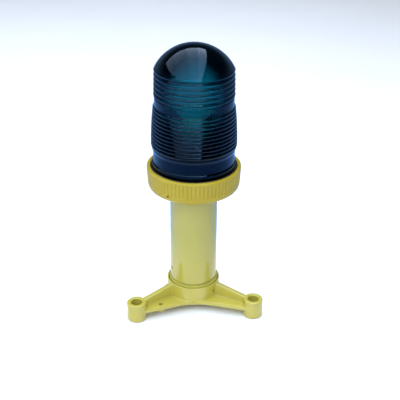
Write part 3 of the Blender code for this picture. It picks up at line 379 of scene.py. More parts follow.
HUB_SCREWS = (-41.45, 78.55, 198.55)
TUBE_SCREWS = (-162.95, 17.05)
holes = [rod(1.4, 27.6, 34.0, angle, 24.4) for angle in HUB_SCREWS]
holes += [rod(2.5, 22.0, 30.0, angle, 53.6) for angle in TUBE_SCREWS]
make("break_sleeve", [turned(rounded([
    (bore, foot, 0.5), (skirt, foot, 0.5), (skirt, skirt_top, 0.6), (neck, skirt_top, 0.15),
    (groove, (skirt_top + shoulder) / 2, 0.4), (neck, shoulder, 0.15), (spigot, shoulder, 0.0),
    (spigot, spigot_top, 1.0), (bore, spigot_top, 0.4)]), 160)],
    coupling_metal, "mast", ["break_coupling"], holes)

# Set screws: black-oxide steel with a hexagon socket, turned in from outside. Three hold the sleeve in
# the hub, two hold the tube on the sleeve and three hold the head on the tube.
black_oxide = finish("black_oxide_steel", ("#151412", "#1d1b18"), 2, (0.4, 0.55), 0.3, 0.004, metallic=0.5)


def set_screw(radius, length, place):
    """A threaded rod with a cone tip and a hexagon socket. The socket's wall is as far from the axis as
    a hexagon's side is at that angle; the thread is a cosine wave that climbs one pitch a turn."""
    socket, pitch, depth = radius * 0.58, 0.5, 0.12
    body = np.arange(radius * 0.4, length - 0.25, pitch / 5)
    profile = [(0, 0), (radius * 0.6, 0)] + [(radius, height) for height in body]
    end = [(radius, length - 0.2), (radius - 0.2, length), (socket + 0.1, length), (socket, length - 0.15),
           (socket, length - radius * 0.9), (0, length - radius * 1.1)]
    first_socket_row = len(profile) + 2

    def change(wide, height, turn):
        wide = wide.copy()
        wave = 0.5 - 0.5 * np.cos(2 * np.pi * height / pitch - turn)
        threaded = slice(2, 2 + len(body))
        wide[:, threaded] -= depth * wave[:, threaded]
        side = (turn + np.pi / 6) % (np.pi / 3) - np.pi / 6
        wide[:, first_socket_row:] *= 0.93 / np.cos(side)
        return wide

    return turned(profile + end, 36, change, place)


for number, angle in enumerate(HUB_SCREWS, start=1):
    make(f"hub_set_screw_{number}", [set_screw(1.1, 6.2, outward(27.9, angle, 24.4))], black_oxide, "mast",
         [f"hub_screw_{number}"])

# ---------------------------------------------------------------------------------------------
# Pole tube: two-inch steel pipe, drawn and faced square. Its powder coat lies smoother and glossier than
# the casting's. Two set screws near its foot bite on the sleeve, and their holes show from outside.
powder_on_tube = finish("powder_coat_on_steel_tube", ("#aca341", "#b0a747"), 40, (0.06, 0.1), 1.6, 0.006,
                        glare=0.9)
tube_radius, tube_foot, tube_top = extent("pole_tube")
tube_bore = tube_radius - 2.85
make("post_tube", [turned(rounded([(tube_bore, tube_foot, 0.5), (tube_radius, tube_foot, 0.7),
                                   (tube_radius, tube_top, 0.5), (tube_bore, tube_top, 0.5)]), 240)],
     powder_on_tube, "mast", ["pole_tube"],
     [rod(2.7, 26.0, 32.0, angle, 53.6) for angle in TUBE_SCREWS])
for number, angle in enumerate(TUBE_SCREWS, start=1):
    make(f"tube_set_screw_{number}", [set_screw(2.2, 4.0, outward(24.7, angle, 53.6))], black_oxide, "mast",
         [f"tube_screw_{number}"])

# ---------------------------------------------------------------------------------------------
# Head casting: a short cast socket on the tube under a shallow cup, whose machined outside thread the
# clamp ring screws on. It is coated in the same golden yellow as the ring.
powder_golden = finish("powder_coat_golden_yellow", ("#a59222", "#ac9929"), 25, (0.2, 0.28), 1.4, 0.012,
                       glare=0.35)
NECK_SCREWS = (30.0, 150.0, 270.0)
CARRIER_CIRCLE = 28.6
thread_pitch, cup_radius, cup_rim = 3.0, 51.0, 182.6


def thread(height, turn, low, high):
    """A rounded screw thread's depth, from 0 at its crest to 1, that fades out at both ends."""
    wave = 0.5 - 0.5 * np.cos(2 * np.pi * (height / thread_pitch - turn / (2 * np.pi)))
    return wave * ease(height, low, low + 1.0) * (1 - ease(height, high - 1.0, high))


def head_thread(wide, height, turn):
    """Cut the thread into the cup's outside."""
    return np.where(np.abs(wide - cup_radius) < 0.01, wide - 0.9 * thread(height, turn, 173.2, 180.4), wide)


def standing(circle, degrees, height):
    """The upright placement on a circle round the mast axis, in mm."""
    return Matrix.Rotation(math.radians(degrees), 4, "Z") @ Matrix.Translation((circle * MM, 0, height * MM))


def upright_rod(radius, low, high, circle, degrees, sides=24):
    """A plain round rod between two heights on a circle round the mast axis, for drilling a hole."""
    return turned([(0, 0), (radius, 0), (radius, high - low), (0, high - low)], sides,
                  place=standing(circle, degrees, low))


thread_rows = [(cup_radius, height, 0.0) for height in np.arange(173.6, 180.6, 0.3)]
make("head_socket_and_cup", [turned(rounded([
    (30.45, 160.2, 0.4), (34.5, 160.2, 0.8), (34.5, 168.0, 1.2), (44.0, 168.0, 1.5),
    (cup_radius, 172.5, 0.6), *thread_rows, (cup_radius, cup_rim, 0.3), (50.45, cup_rim, 0.1),
    (50.45, 180.7, 0.3), (47.55, 180.7, 0.3), (47.55, cup_rim, 0.1), (46.0, cup_rim, 0.4),
    (46.0, 172.3, 1.0), (26.5, 172.3, 0.4), (26.5, 170.3, 0.3), (30.45, 170.3, 0.2)]), 240, head_thread)],
    powder_golden, "mast", ["head_casting"],
    [rod(2.0, 29.0, 37.0, angle, 164.2) for angle in NECK_SCREWS]
    + [upright_rod(1.7, 165.0, 177.0, CARRIER_CIRCLE, angle) for angle in ARMS])
for number, angle in enumerate(NECK_SCREWS, start=1):
    make(f"neck_set_screw_{number}", [set_screw(1.7, 3.4, outward(30.5, angle, 164.2))], black_oxide, "mast",
         [f"neck_screw_{number}"])

# ---------------------------------------------------------------------------------------------
# Battery carrier: a moulded nylon tube that hangs in the post by its flange and holds two D cells.
wide, foot, flange_top = extent("battery_carrier")
cell_bore, carrier_wall, flange_foot = 17.6, 21.0, 172.6
EIGHTH_TURN = Matrix.Rotation(math.pi / 4, 4, "Z")
slot_place = Matrix.Translation((21.9 * MM, 0, 0))
make("cell_carrier", [turned(rounded([
    (0, foot, 0), (carrier_wall, foot, 1.0), (carrier_wall, flange_foot, 0.3), (wide, flange_foot, 0.4),
    (wide, flange_top, 0.5), (cell_bore, flange_top, 0.6), (cell_bore, foot + 2.0, 0.8), (0, foot + 2.0, 0)]),
    128)],
    black_nylon, "mast", ["battery_carrier"],
    [upright_rod(1.7, 169.6, 177.6, CARRIER_CIRCLE, angle) for angle in ARMS]
    + [turned([(0, 169.6), (1.0, 169.6), (1.0, 178), (0, 178)], 4,
              place=slot_place @ Matrix.Diagonal((1.0, 5.0, 1.0, 1.0)) @ EIGHTH_TURN)])

# The cells wear a printed shrink sleeve with a copper-coloured band at the top, and show bare steel at
# their tips. A spring under the lower one and a plate on the upper one carry the current.
cell_sleeve = finish("printed_shrink_sleeve", ("#1f2a3c", "#263349"), 20, (0.2, 0.3), 2, 0.006)
copper_band = finish("copper_coloured_shrink_sleeve", ("#a8693a", "#b3733f"), 20, (0.22, 0.3), 2, 0.006)
steel_plate = finish("nickel_plated_steel", ("#c3c1ba", "#b4b2ab"), 3, (0.2, 0.34), 0.5, 0.004, metallic=1.0)
for node in ("lower_cell", "upper_cell"):
    wide, foot, top = extent(node)
    rim, band = top - 1.4, top - 17.0
    make(node + "_sleeve", [turned(rounded([(0, foot, 0), (wide, foot, 0.9), (wide, band, 0),
                                            (0, band, 0)]))],
         cell_sleeve, "mast", [node])
    make(node + "_band", [turned(rounded([(0, band, 0), (wide, band, 0), (wide, rim, 0.9), (15.6, rim, 0.4),
                                          (15.2, rim - 0.5, 0.3), (0, rim - 0.5, 0)]))],
         copper_band, "mast", [])
    make(node + "_tip", [turned(rounded([(0, rim - 0.4, 0), (4.7, rim - 0.4, 0), (4.7, top, 0.7),
                                         (0, top, 0)]))],
         steel_plate, "mast", [])


def swept(path, radius, side, sides=12):
    """A round tube along a path in mm. At each point the section's axes are square to the path's own
    direction and to the given side vector. The first and last rings shrink to a point, so it is closed."""
    along = np.gradient(path, axis=0)
    along /= np.linalg.norm(along, axis=-1, keepdims=True)
    path, along = (np.vstack([rows[:1], rows, rows[-1:]]) for rows in (path, along))
    ring = np.full(len(path), radius)
    ring[[0, -1]] = 0
    across = np.cross(along, side)
    across /= np.linalg.norm(across, axis=-1, keepdims=True)
    up = np.cross(across, along)
    turn = np.linspace(0, 2 * np.pi, sides, endpoint=False)[:, None, None]
    points = path + ring[:, None] * (np.cos(turn) * across + np.sin(turn) * up)
    number = np.arange(sides * len(path)).reshape(sides, len(path))
    number[:, [0, -1]] = number[0, [0, -1]]
    here, beside = number[:, :-1], np.roll(number, -1, 0)
    faces = np.stack([beside[:, :-1], here, number[:, 1:], beside[:, 1:]], -1)
    return points.reshape(-1, 3) * MM, faces.reshape(-1, 4)


wide, foot, top = extent("contact_spring")
wire, coils = 0.5, 2.5
turn = np.linspace(0, 2 * np.pi * coils, 120)
climb = ease(turn / turn[-1], -0.05, 1.05)
coil = np.stack([7.0 * np.cos(turn), 7.0 * np.sin(turn), foot + wire + (top - foot - 2 * wire) * climb], -1)
make("cell_spring", [swept(coil, wire, (0, 0, 1))], steel_plate, "mast", ["contact_spring"])
wide, foot, top = extent("contact_plate")
make("cell_contact", [turned(rounded([(0, foot, 0), (wide, foot, 0.15), (wide, top, 0.15), (0, top, 0)]))],
     steel_plate, "mast", ["contact_plate"])
softened("cell_return_strip", "return_strip", steel_plate, "mast", 0.12)

# The lid is a moulded plug with a coin slot across it and a ribbed edge.
wide, foot, top = extent("battery_lid")
step = top - 3.3


def lid_ribs(wide, height, turn):
    """Shallow round ribs down the lid's edge."""
    ribs = 0.35 * (0.5 - 0.5 * np.cos(60 * turn))
    return np.where((wide > 20.0) & (height > step + 0.4), wide - ribs, wide)


coin_slot = turned([(0, top - 1.4), (1.0, top - 1.4), (1.0, top + 2), (0, top + 2)], 4,
                   place=Matrix.Diagonal((22.0, 2.2, 1.0, 1.0)) @ EIGHTH_TURN)
make("cell_lid", [turned(rounded([(0, foot, 0), (13, foot, 0.6), (13, step, 0.2), (wide, step, 0.4),
                                  (wide, top, 0.8), (0, top, 0)]), 360, lid_ribs)],
     black_nylon, "mast", ["battery_lid"], [coin_slot])


def pan_screw(place, head, length, shank=1.35):
    """A pan-head screw with its seat at the placement's origin. The cross recess is as wide, at each angle,
    as the longer reach of two crossed bars; it narrows with depth."""
    height = head * 0.65
    recess = head * 0.62
    profile = rounded([(0, -length, 0), (shank, -length, 0.4), (shank, 0, 0), (head, 0, 0.2),
                       (head, height, 0.55 * head)])
    first = len(profile)
    profile = np.vstack([profile, [(recess, height), (recess * 0.95, height - 0.1),
                                   (recess * 0.45, height * 0.35), (0, height * 0.25)]])

    def change(wide, height, turn):
        wide = wide.copy()
        fold = np.abs((turn + np.pi / 4) % (np.pi / 2) - np.pi / 4)
        cross = np.minimum(1 / np.cos(fold), 0.24 / np.maximum(np.sin(fold), 0.01))
        wide[:, first:] *= cross
        return wide

    return turned(profile, 48, change, place)


# The pan-head screws are bright zinc-plated steel.
zinc = finish("zinc_plated_steel", ("#b9bcc0", "#a9adb3"), 2, (0.26, 0.4), 0.3, 0.004, metallic=1.0)
for number, angle in enumerate(ARMS, start=1):
    make(f"carrier_pan_screw_{number}", [pan_screw(standing(CARRIER_CIRCLE, angle, 174.7), 2.6, 3.2)],
         zinc, "mast", [f"carrier_screw_{number}"])

# ---------------------------------------------------------------------------------------------
# Driver board: a ring of glass-epoxy laminate under green solder mask, on nickel-plated brass posts,
# with two capacitors, a choke, the driver chip and the lamp's connector.
POSTS = (30.0, 150.0, 270.0)
POST_CIRCLE = 37.5


def circuit_laminate():
    """Solder mask over copper: the mask is paler over the tracks, which are the edges of square cells."""
    material = finish("green_solder_mask", ("#0e5a30", "#0f6134"), 8, (0.22, 0.3), 0.5, 0.004)
    tree = material.node_tree
    shader = tree.nodes["Principled BSDF"]
    mask = shader.inputs["Base Color"].links[0].from_socket
    place = add_node(tree, "ShaderNodeTexCoord", {})
    cells = add_node(tree, "ShaderNodeTexVoronoi",
                     {"Vector": place.outputs["Object"], "Scale": 1 / (2.6 * MM)},
                     distance="MANHATTAN", feature="F1")
    tracks = add_node(tree, "ShaderNodeMapRange", {0: cells.outputs["Distance"], 1: 0.78, 2: 0.84})
    hue = add_node(tree, "ShaderNodeMix", {0: tracks.outputs[0], 6: mask, 7: linear("#2c8a50")},
                   data_type="RGBA")
    tree.links.new(hue.outputs[2], shader.inputs["Base Color"])
    return material


wide, foot, top = extent("circuit_board")
make("driver_board", [turned(rounded([(32.5, foot, 0.1), (wide, foot, 0.1), (wide, top, 0.1),
                                      (32.5, top, 0.1)]), 160)],
     circuit_laminate(), "mast", ["circuit_board"],
     [upright_rod(1.7, foot - 4, foot + 6, POST_CIRCLE, angle) for angle in POSTS])
brass = finish("nickel_plated_brass", ("#c9c0a2", "#bdb391"), 2, (0.2, 0.32), 0.3, 0.004, metallic=1.0)
for number in (1, 2, 3):
    softened(f"board_post_{number}", f"board_spacer_{number}", brass, "mast", 0.2)
    softened(f"tray_post_{number}", f"tray_standoff_{number}", brass, "mast", 0.2)
can_sleeve = finish("black_capacitor_sleeve", ("#18191f", "#1d1e26"), 4, (0.25, 0.35), 0.5, 0.004)
for number, angle in enumerate((75.0, 105.0), start=1):
    can = rounded([(0, 0, 0), (3.6, 0, 0.4), (3.6, 0.9, 0.1), (3.45, 1.1, 0.1), (3.6, 1.3, 0.1),
                   (3.6, 5.2, 0.5), (2.9, 5.2, 0.1), (2.8, 5.0, 0.1), (0, 5.0, 0)])
    make(f"smoothing_capacitor_{number}", [turned(can, 48, place=standing(POST_CIRCLE, angle, top + 0.3))],
         can_sleeve, "mast", [f"capacitor_{number}"])
ferrite = finish("dark_ferrite", ("#2a2a2c", "#343436"), 0.6, (0.5, 0.7), 0.3, 0.02)
softened("choke", "inductor", ferrite, "mast", 0.6)
softened("driver_package", "driver_chip", black_nylon, "mast", 0.2)
softened("lamp_connector", "lead_connector", black_nylon, "mast", 0.25)

# ---------------------------------------------------------------------------------------------
# Lamp: a moulded tray on the board's posts carries an aluminium stem. On the stem stand a hexagonal
# block with a white LED board round it and a clear anodised heat sink, held by one screw.
SWITCH_CIRCLE, SWITCH_ANGLE = 27.0, 210.0
wide, foot, lip_top = extent("lamp_tray")
tray_top = foot + 2.4
# The tray's dark grey is partly painted shade: it keeps the inside of the glass dark.
grey_tray = finish("dark_grey_polycarbonate_and_painted_shade", ("#2b2d30", "#303236"), 8, (0.32, 0.45), 0.5, 0.01)
tray_holes = [upright_rod(1.7, foot - 3, foot + 7, POST_CIRCLE, angle) for angle in POSTS]
tray_holes += [upright_rod(4.0, foot - 3, foot + 7, SWITCH_CIRCLE, SWITCH_ANGLE, 32)]
make("lamp_base_tray", [turned(rounded([
    (5.5, foot, 0.3), (wide, foot, 0.8), (wide, lip_top, 0.4), (wide - 1.5, lip_top, 0.4),
    (wide - 1.5, tray_top, 0.5), (5.5, tray_top, 0.3)]), 160)],
    grey_tray, "mast", ["lamp_tray"], tray_holes)
for number, angle in enumerate(POSTS, start=1):
    make(f"tray_pan_screw_{number}", [pan_screw(standing(POST_CIRCLE, angle, tray_top + 0.3), 3.2, 6.4)],
         zinc, "mast", [f"tray_screw_{number}"])
turned_aluminium = finish("turned_aluminium", ("#c6c9cc", "#b4b8bc"), 1.5, (0.25, 0.4), 0.35, 0.006,
                          metallic=1.0, stretch=(0.3, 0.3, 4.0))
wide, foot, top = extent("lamp_stem")
make("lamp_column", [turned(rounded([
    (5.5, foot, 0.2), (14, foot, 0.4), (14, foot + 2.4, 0.5), (9, foot + 3.6, 1.2), (9, top, 0.5),
    (5.5, top, 0.3)]), 96)], turned_aluminium, "mast", ["lamp_stem"])
softened("led_mounting_block", "led_block", turned_aluminium, "mast", 0.4)
led_white = finish("white_solder_mask", ("#dfe2e2", "#d6dada"), 6, (0.25, 0.35), 0.6, 0.004)
face, led_height = 14.34, 254.5
ceramic = [turned(rounded([(0, -0.2, 0), (4.3, -0.2, 0), (4.3, 0.9, 0.15), (0, 0.9, 0)]), 4,
                  place=outward(face, 30.0 + 60.0 * side, led_height) @ EIGHTH_TURN)
           for side in range(6)]
board_ring = turned([(15.36, 242), (16.55, 242), (16.55, 267), (15.36, 267)], 6)
make("led_boards", [board_ring] + ceramic, led_white, "mast", ["led_board"], angle=20.0)
phosphor = finish("phosphor_under_silicone", ("#e0c53a", "#e6cf55"), 1, (0.08, 0.14), 0.6, 0.002)
bulge = np.linspace(0, math.pi / 2, 9)
drop = np.stack([2.5 * np.cos(bulge), 0.9 + 2.1 * np.sin(bulge)], -1)
drop[-1, 0] = 0
make("led_domes", [turned(np.vstack([[(0, 0.8), (2.5, 0.8)], drop]), 32,
                          place=outward(face, 30.0 + 60.0 * side, led_height)) for side in range(6)],
     phosphor, "mast", [])
anodised = finish("clear_anodised_aluminium", ("#c4c7c9", "#b8bcbf"), 4, (0.3, 0.42), 0.4, 0.006,
                  metallic=0.7)
softened("finned_heat_sink", "heat_sink", anodised, "mast", 0.3)
make("heat_sink_pan_screw", [pan_screw(Matrix.Translation((0, 0, 0.2751)), 4.0, 11.0, 2.0)], zinc, "mast",
     ["heat_sink_screw"])

# The lamp's lead is two sleeved wires twisted together. It runs in under the tray and up the stem's bore.
red_sleeve = finish("red_wire_sleeve", ("#8e1712", "#99201a"), 6, (0.3, 0.4), 1, 0.004)
level, bend, start, top = 183.2, 5.0, 34.7, 250.0
run = np.linspace(0, 1, 60)[:, None]
corner = np.linspace(0, math.pi / 2, 16)[:, None]
inward = np.hstack([start + (bend - start) * run[:-1], 0 * run[:-1], level + 0 * run[:-1]])
upturn = np.hstack([bend * (1 - np.sin(corner)), 0 * corner, level + bend * (1 - np.cos(corner))])
rise = np.hstack([0 * run[1:], 0 * run[1:], level + bend + (top - level - bend) * run[1:]])
lead = np.vstack([inward, upturn, rise])
length = np.cumsum(np.linalg.norm(np.diff(lead, axis=0, prepend=lead[:1]), axis=-1))[:, None]
heading = np.gradient(lead, axis=0)
heading /= np.linalg.norm(heading, axis=-1, keepdims=True)
aside = np.cross(heading, (0, 1, 0))
twist = 2 * np.pi * length / 14.0
swing = 0.72 * (np.cos(twist) * aside + np.sin(twist) * np.array([0, 1, 0]))
make("lamp_wires", [swept(lead + swing, 0.7, (0, 1, 0)), swept(lead - swing, 0.7, (0, 1, 0))],
     red_sleeve, "mast", ["lamp_lead"])

# ---------------------------------------------------------------------------------------------
# Push switch on the tray: a moulded body and a red cap that presses down into it.
seat = tray_top + 0.3
place = standing(SWITCH_CIRCLE, SWITCH_ANGLE, seat)
make("switch_housing", [turned(rounded([
    (0, -4, 0), (3.6, -4, 0.3), (3.6, 0, 0.1), (6.5, 0, 0.3), (6.5, 6, 0.7), (2.9, 6, 0.25),
    (2.9, 2.8, 0.1), (0, 2.8, 0)]), 64, place=place)],
    black_nylon, "mast", ["switch_body"])
red_cap = finish("moulded_red_abs", ("#a81d16", "#b3241c"), 4, (0.22, 0.3), 0.6, 0.004)
make("switch_cap", [turned(rounded([
    (0, 4.8, 0), (2.6, 4.8, 0.2), (2.6, 8.0, 0.2), (4.4, 8.0, 0.3), (4.4, 10.2, 0.8), (2.6, 10.2, 0.6),
    (0, 9.9, 0)]), 64, place=place)],
    red_cap, "button", ["switch_button"])

# ---------------------------------------------------------------------------------------------
# Seals under the ring: a rubber O-ring in the cup's rim, and a slip washer that the ring turns on.
section = np.linspace(0, 2 * np.pi, 24, endpoint=False)
low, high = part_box("head_seal")
middle = (low.z + high.z) / 2 / MM
bead = np.stack([49.0 + 1.3 * np.cos(section), middle + 1.3 * np.sin(section)], -1)
make("rim_o_ring", [turned(bead, 160)], black_rubber, "seal", ["head_seal"], flat=False)
acetal = finish("natural_acetal", ("#d9d8d2", "#cfcec7"), 8, (0.34, 0.44), 0.6, 0.006)
wide, foot, top = extent("slip_washer")
make("bearing_washer", [turned(rounded([(46.8, foot, 0.1), (wide, foot, 0.1), (wide, top, 0.1),
                                        (46.8, top, 0.1)]), 160)],
     acetal, "washer", ["slip_washer"])

# ---------------------------------------------------------------------------------------------
# Clamp ring: a cast ring with 72 round ribs to grip, threaded inside, in golden yellow powder coat.
# The glass and its gasket sit in its pocket, and a small screw in its side locks it.
RIBS = 72
rib_phase = math.radians(1.95)
ring_thread = 51.5


def ring_shape(wide, height, turn):
    """Ribs outside: a narrow round groove between two ribs, fading out at both ends. Thread inside."""
    ribbed = ease(height, 178.9, 180.6) * (1 - ease(height, 197.4, 198.7))
    groove = (0.5 - 0.5 * np.cos(RIBS * (turn - rib_phase))) ** 2.8
    wide = np.where(wide > 57.0, wide - 1.1 * ribbed * groove, wide)
    return np.where(np.abs(wide - ring_thread) < 0.01, wide + 0.8 * thread(height, turn, 171.8, 184.2), wide)


def sampled(corners, pitch):
    """Add points down an outline's long straight sides so that no step is much longer than the pitch."""
    outline = []
    for here, following in zip(corners, np.roll(corners, -1, 0)):
        steps = max(1, int(np.hypot(*(following - here)) / pitch))
        outline.append(here + (following - here) * np.arange(steps)[:, None] / steps)
    return np.vstack(outline)


ring_outline = rounded([
    (52.8, 171.3, 0.5), (55.6, 172.6, 1.4), (57.4, 175.0, 1.4), (58.0, 178.4, 1.2), (59.3, 198.4, 0.8),
    (59.1, 200.2, 0.6), (58.3, 201.0, 0.5), (54.6, 201.0, 0.5), (54.6, 188.0, 0.3), (46.5, 188.0, 0.4),
    (46.5, 184.8, 0.4), (ring_thread, 184.8, 0.2), (ring_thread, 171.3, 0.5)])
lock_angle, lock_height = -126.45, 179.0
make("ribbed_clamp_ring", [turned(sampled(ring_outline, 0.75), RIBS * 8, ring_shape)],
     powder_golden, "lens_unit", ["clamp_ring"],
     [rod(1.5, 50.5, 61.0, lock_angle, lock_height)], angle=50.0)
make("ring_set_screw", [set_screw(1.2, 3.7, outward(51.7, lock_angle, lock_height))],
     black_oxide, "lens_unit", ["ring_lock_screw"])

# ---------------------------------------------------------------------------------------------
# Gasket: an L-section ring of black rubber that the foot of the glass stands in.
wide, foot, top = extent("lens_gasket")
make("glass_gasket", [turned(rounded([
    (46.8, foot, 0.3), (wide, foot, 0.3), (wide, top, 1.2), (51.05, top, 0.7), (51.05, 190.4, 0.3),
    (46.8, 190.4, 0.4)]), 240)], black_rubber, "lens_unit", ["lens_gasket"])

# ---------------------------------------------------------------------------------------------
# Lens: one pressed and fire-polished blue glass dome. Two bands of ridges outside spread the light up
# and down, fine flutes inside the plain bands spread it sideways, and the dome above is plain.


def ridge_band(count, low, high, depth, crest, keen, rows=8):
    """Ridges stacked between two heights, whose crests follow crest(height). Each is the arcsine of a half
    sine times keen: round for a small keen, and nearly straight-sided for one close to 1."""
    step = np.arange(count * rows) / rows
    height = low + (high - low) * step / count
    swell = np.arcsin(keen * np.abs(np.sin(math.pi * step))) / math.asin(keen)
    return np.stack([crest(height) - depth * (1 - swell), height], -1)


def flutes(wide, height, turn):
    """Eighty shallow flutes down the inner wall behind each plain band, which fade out at both ends."""
    fade = ease(height, 201.0, 205.0) * (1 - ease(height, 224.0, 228.0))
    fade = fade + ease(height, 279.0, 282.0) * (1 - ease(height, 289.0, 292.0))
    return np.where(wide < 45.3, wide + 0.25 * fade * (0.5 - 0.5 * np.cos(80 * turn)), wide)


dome_radius, dome_top, inner_radius, bore_radius, foot = 54.5, 355.0, 50.0, 45.0, 190.7
band_foot, band_top, rib_foot, rib_top = 228.4, 280.4, 291.8, 327.8
dome_centre = dome_top - dome_radius
rise = np.linspace(math.asin((rib_top + 0.4 - dome_centre) / dome_radius), math.pi / 2, 30)[:, None]
dome = np.hstack([dome_radius * np.cos(rise), dome_centre + dome_radius * np.sin(rise)])
fall = np.linspace(math.pi / 2, math.acos(bore_radius / inner_radius), 26)[:, None]
inside = np.hstack([inner_radius * np.cos(fall), dome_centre + inner_radius * np.sin(fall)])
dome[-1, 0] = inside[0, 0] = 0
wall_rows = np.linspace(inside[-1, 1], foot + 1.3, 24)[1:, None]
wall = np.hstack([0 * wall_rows + bore_radius, wall_rows])
skirt = rounded([(bore_radius, foot, 0.8), (50.75, foot, 0.8), (50.75, 203.4, 0.3), (52.3, 204.0, 0.4),
                 (52.3, 207.4, 0.6), (50.75, 208.6, 0.6), (50.75, 222.0, 0.5), (52.6, 226.6, 0.8),
                 (51.9, 228.2, 0.0), (0.0, 228.2, 0.0)])[:-2]
lower_band = ridge_band(11, band_foot, band_top, 1.2, lambda height: 53.4 - 0.00117 * (height - 229.0) ** 2,
                        0.95)
waist = rounded([(48.9, band_top, 0.0), (48.65, 281.6, 0.4), (48.65, 290.9, 0.3), (48.4, 291.4, 0.0),
                 (0.0, 291.4, 0.0), (0.0, band_top, 0.0)])[:-2]
upper_band = ridge_band(6, rib_foot, rib_top, 1.7,
                        lambda height: 49.55 - (height - rib_foot) / (rib_top - rib_foot), 0.85)
lens_outline = np.vstack([skirt, lower_band, waist, upper_band, dome, inside, wall])


def blue_glass(name, gloss):
    """Blue-green pressed glass. Light is tinted at each face it crosses. The colour is darkened towards near
    black where the round wall turns away, partly for light's longer way through the glass there and partly as
    painted shade that stands in for the dark surroundings, and it also darkens with the distance above or
    below the waist."""
    material = bpy.data.materials.new(name)
    material.use_nodes = True
    tree = material.node_tree
    shader = tree.nodes["Principled BSDF"]
    place = add_node(tree, "ShaderNodeTexCoord", {})
    cords = add_node(tree, "ShaderNodeTexNoise", {"Vector": place.outputs["Object"], "Scale": 1 / (14 * MM)})
    hue = add_node(tree, "ShaderNodeMix", {0: cords.outputs[0], 6: linear("#3cc4c0"), 7: linear("#46ccc6")},
                   data_type="RGBA")
    level = add_node(tree, "ShaderNodeVectorMath", {0: place.outputs["Object"], 1: (1.0, 1.0, 0.0)},
                     operation="MULTIPLY")
    outwards = add_node(tree, "ShaderNodeVectorTransform", {0: level.outputs[0]}, vector_type="NORMAL",
                        convert_from="OBJECT", convert_to="WORLD")
    slant = add_node(tree, "ShaderNodeLayerWeight", {"Blend": 0.5, "Normal": outwards.outputs[0]})
    upright = add_node(tree, "ShaderNodeSeparateXYZ", {0: place.outputs["Object"]})
    above = add_node(tree, "ShaderNodeMath", {0: upright.outputs["Z"], 1: 298 * MM}, operation="SUBTRACT")
    apart = add_node(tree, "ShaderNodeMath", {0: above.outputs[0]}, operation="ABSOLUTE")
    off_waist = add_node(tree, "ShaderNodeMapRange", {0: apart.outputs[0], 1: 12 * MM, 2: 60 * MM, 3: 0.0,
                                                    4: 0.3})
    both = add_node(tree, "ShaderNodeMath", {0: slant.outputs["Facing"], 1: off_waist.outputs[0]},
                    operation="ADD")
    # Painted shade: the glass colour is mixed towards near black at the sides and away from the waist.
    longer = add_node(tree, "ShaderNodeMapRange", {0: both.outputs[0], 1: 0.14, 2: 0.37})
    depth = add_node(tree, "ShaderNodeMix", {0: longer.outputs[0], 6: hue.outputs[2], 7: linear("#04181c")},
                     data_type="RGBA")
    waves = add_node(tree, "ShaderNodeBump", {"Height": cords.outputs[0], "Distance": 0.05 * MM})
    polish = add_node(tree, "ShaderNodeMapRange", {0: cords.outputs[0], 3: gloss[0], 4: gloss[1]})
    tree.links.new(depth.outputs[2], shader.inputs["Base Color"])
    tree.links.new(waves.outputs[0], shader.inputs["Normal"])
    tree.links.new(polish.outputs[0], shader.inputs["Roughness"])
    shader.inputs["Transmission Weight"].default_value = 1.0
    shader.inputs["IOR"].default_value = 1.5
    shader.inputs["Specular Tint"].default_value = linear("#7aa4c4")
    return material


# The outside is fire-polished; the inner wall keeps the duller skin that the plunger left.
lens = make("pressed_glass_dome", [turned(lens_outline, 320, flutes)],
            blue_glass("fire_polished_blue_glass", (0.015, 0.035)), "lens_unit", ["lens_dome"],
            angle=50.0, flat=False)
lens.data.materials.append(blue_glass("pressed_blue_glass", (0.2, 0.26)))
spots = np.array([face.center for face in lens.data.polygons]) / MM
in_bore = (np.hypot(spots[:, 0], spots[:, 1]) < bore_radius + 0.4) & (spots[:, 2] < 323.0)
from_centre = np.linalg.norm(spots - (0, 0, dome_centre), axis=-1)
in_crown = (spots[:, 2] > 300.0) & (from_centre < inner_radius + 0.5)
lens.data.polygons.foreach_set("material_index", (in_bore | in_crown).astype(np.int32))

# ---------------------------------------------------------------------------------------------
# Studio: a pale floor, a skylight in four strips that grow stronger to the right, three softboxes that
# nothing mirrors, and a pale room. In reflections the board beyond the base looks sky blue, and the room
# is blue low down and dark above, as it would be out of doors.
studio_white = finish("matt_white_board", ("#f2f2f1", "#eeeeed"), 300, (0.75, 0.8), 3, 0.02)
tree = studio_white.node_tree
board = tree.nodes["Principled BSDF"].inputs["Base Color"]
white = board.links[0].from_socket
place = add_node(tree, "ShaderNodeTexCoord", {})
away = add_node(tree, "ShaderNodeVectorMath", {0: place.outputs["Object"]}, operation="LENGTH")
far = add_node(tree, "ShaderNodeMapRange", {0: away.outputs["Value"], 1: 0.1, 2: 0.2})
ray = add_node(tree, "ShaderNodeLightPath", {})
shown = add_node(tree, "ShaderNodeMix", {0: far.outputs[0], 6: white, 7: linear("#74a0d8")},
                 data_type="RGBA")
tone = add_node(tree, "ShaderNodeMix", {0: ray.outputs["Is Glossy Ray"], 6: white, 7: shown.outputs[2]},
                data_type="RGBA")
tree.links.new(tone.outputs[2], board)
slab_outline = [(0, -20), (6000, -20), (6000, 0), (0, 0)]
floor = bpy.data.objects.new("floor", mesh_of("floor", [turned(slab_outline)]))
bpy.context.scene.collection.objects.link(floor)
floor.data.materials.append(studio_white)


def softbox(name, place, target, size, power, hue, mirrored):
    """A rectangular area light that faces the target and that the camera doesn't see. Gloss and glass
    show it only where it is mirrored."""
    lamp = bpy.data.lights.new(name, "AREA")
    lamp.shape = "RECTANGLE"
    lamp.size, lamp.size_y = size
    lamp.energy = power
    lamp.color = linear(hue)[:3]
    holder = bpy.data.objects.new(name, lamp)
    bpy.context.scene.collection.objects.link(holder)
    holder.location = place
    holder.rotation_euler = (Vector(target) - Vector(place)).to_track_quat("-Z", "Y").to_euler()
    holder.visible_camera = False
    holder.visible_glossy = mirrored
    return holder


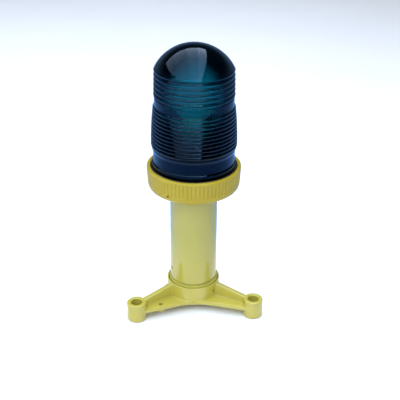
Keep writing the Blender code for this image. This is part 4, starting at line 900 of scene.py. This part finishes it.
SKY_STRIPS = ((-1.91, -1.0, 26), (-1.0, -0.3, 24), (-0.3, 0.2, 23), (0.2, 0.59, 25))
for number, (left, right, power) in enumerate(SKY_STRIPS):
    middle = (left + right) / 2
    softbox(f"skylight_{number}", (middle, -0.6, 1.65), (middle, -0.6, 0), (right - left, 4.0), power,
            "#dae8ff", True)
softbox("overhead_softbox", (0.9, 0.2, 2.4), (0.3, 0, 0), (2.4, 2.4), 13, "#fff6e8", False)
softbox("front_left_softbox", (-1.25, -0.9, 0.95), (0, 0, 0.15), (1.3, 1.6), 8, "#fffaf0", False)
softbox("front_softbox", (0.45, -1.7, 0.95), (0, 0, 0.12), (1.5, 1.2), 6, "#fffaf0", False)

world = bpy.data.worlds.new("studio_room")
bpy.context.scene.world = world
world.use_nodes = True
room = world.node_tree
ray = add_node(room, "ShaderNodeLightPath", {})
way = add_node(room, "ShaderNodeTexCoord", {})
rising = add_node(room, "ShaderNodeSeparateXYZ", {0: way.outputs["Generated"]})
above = add_node(room, "ShaderNodeMapRange", {0: rising.outputs["Z"], 1: 0.15, 2: 0.45})
mirrored = add_node(room, "ShaderNodeMix", {0: above.outputs[0], 6: linear("#6a88ac"), 7: linear("#22384c")},
                    data_type="RGBA")
dim = add_node(room, "ShaderNodeMix", {0: ray.outputs["Is Glossy Ray"], 6: linear("#7f8286"),
                                       7: mirrored.outputs[2]}, data_type="RGBA")
pale = add_node(room, "ShaderNodeMix", {0: ray.outputs["Is Camera Ray"], 6: dim.outputs[2],
                                        7: linear("#f6f8fa")}, data_type="RGBA")
room.links.new(pale.outputs[2], room.nodes["Background"].inputs["Color"])
bpy.context.scene.view_settings.view_transform = "Standard"

camera = bpy.data.objects.new("camera", bpy.data.cameras.new("camera"))
camera.data.lens = 72.0
camera.data.sensor_width = 36.0
camera.location = (-0.05297, -0.90495, 0.6292)
camera.rotation_euler = (Matrix.Rotation(math.radians(-3.858), 3, "Z")
                         @ Matrix.Rotation(math.radians(90.0 - 27.89), 3, "X")
                         @ Matrix.Rotation(math.radians(0.543), 3, "Z")).to_euler()
bpy.context.scene.collection.objects.link(camera)
bpy.context.scene.camera = camera
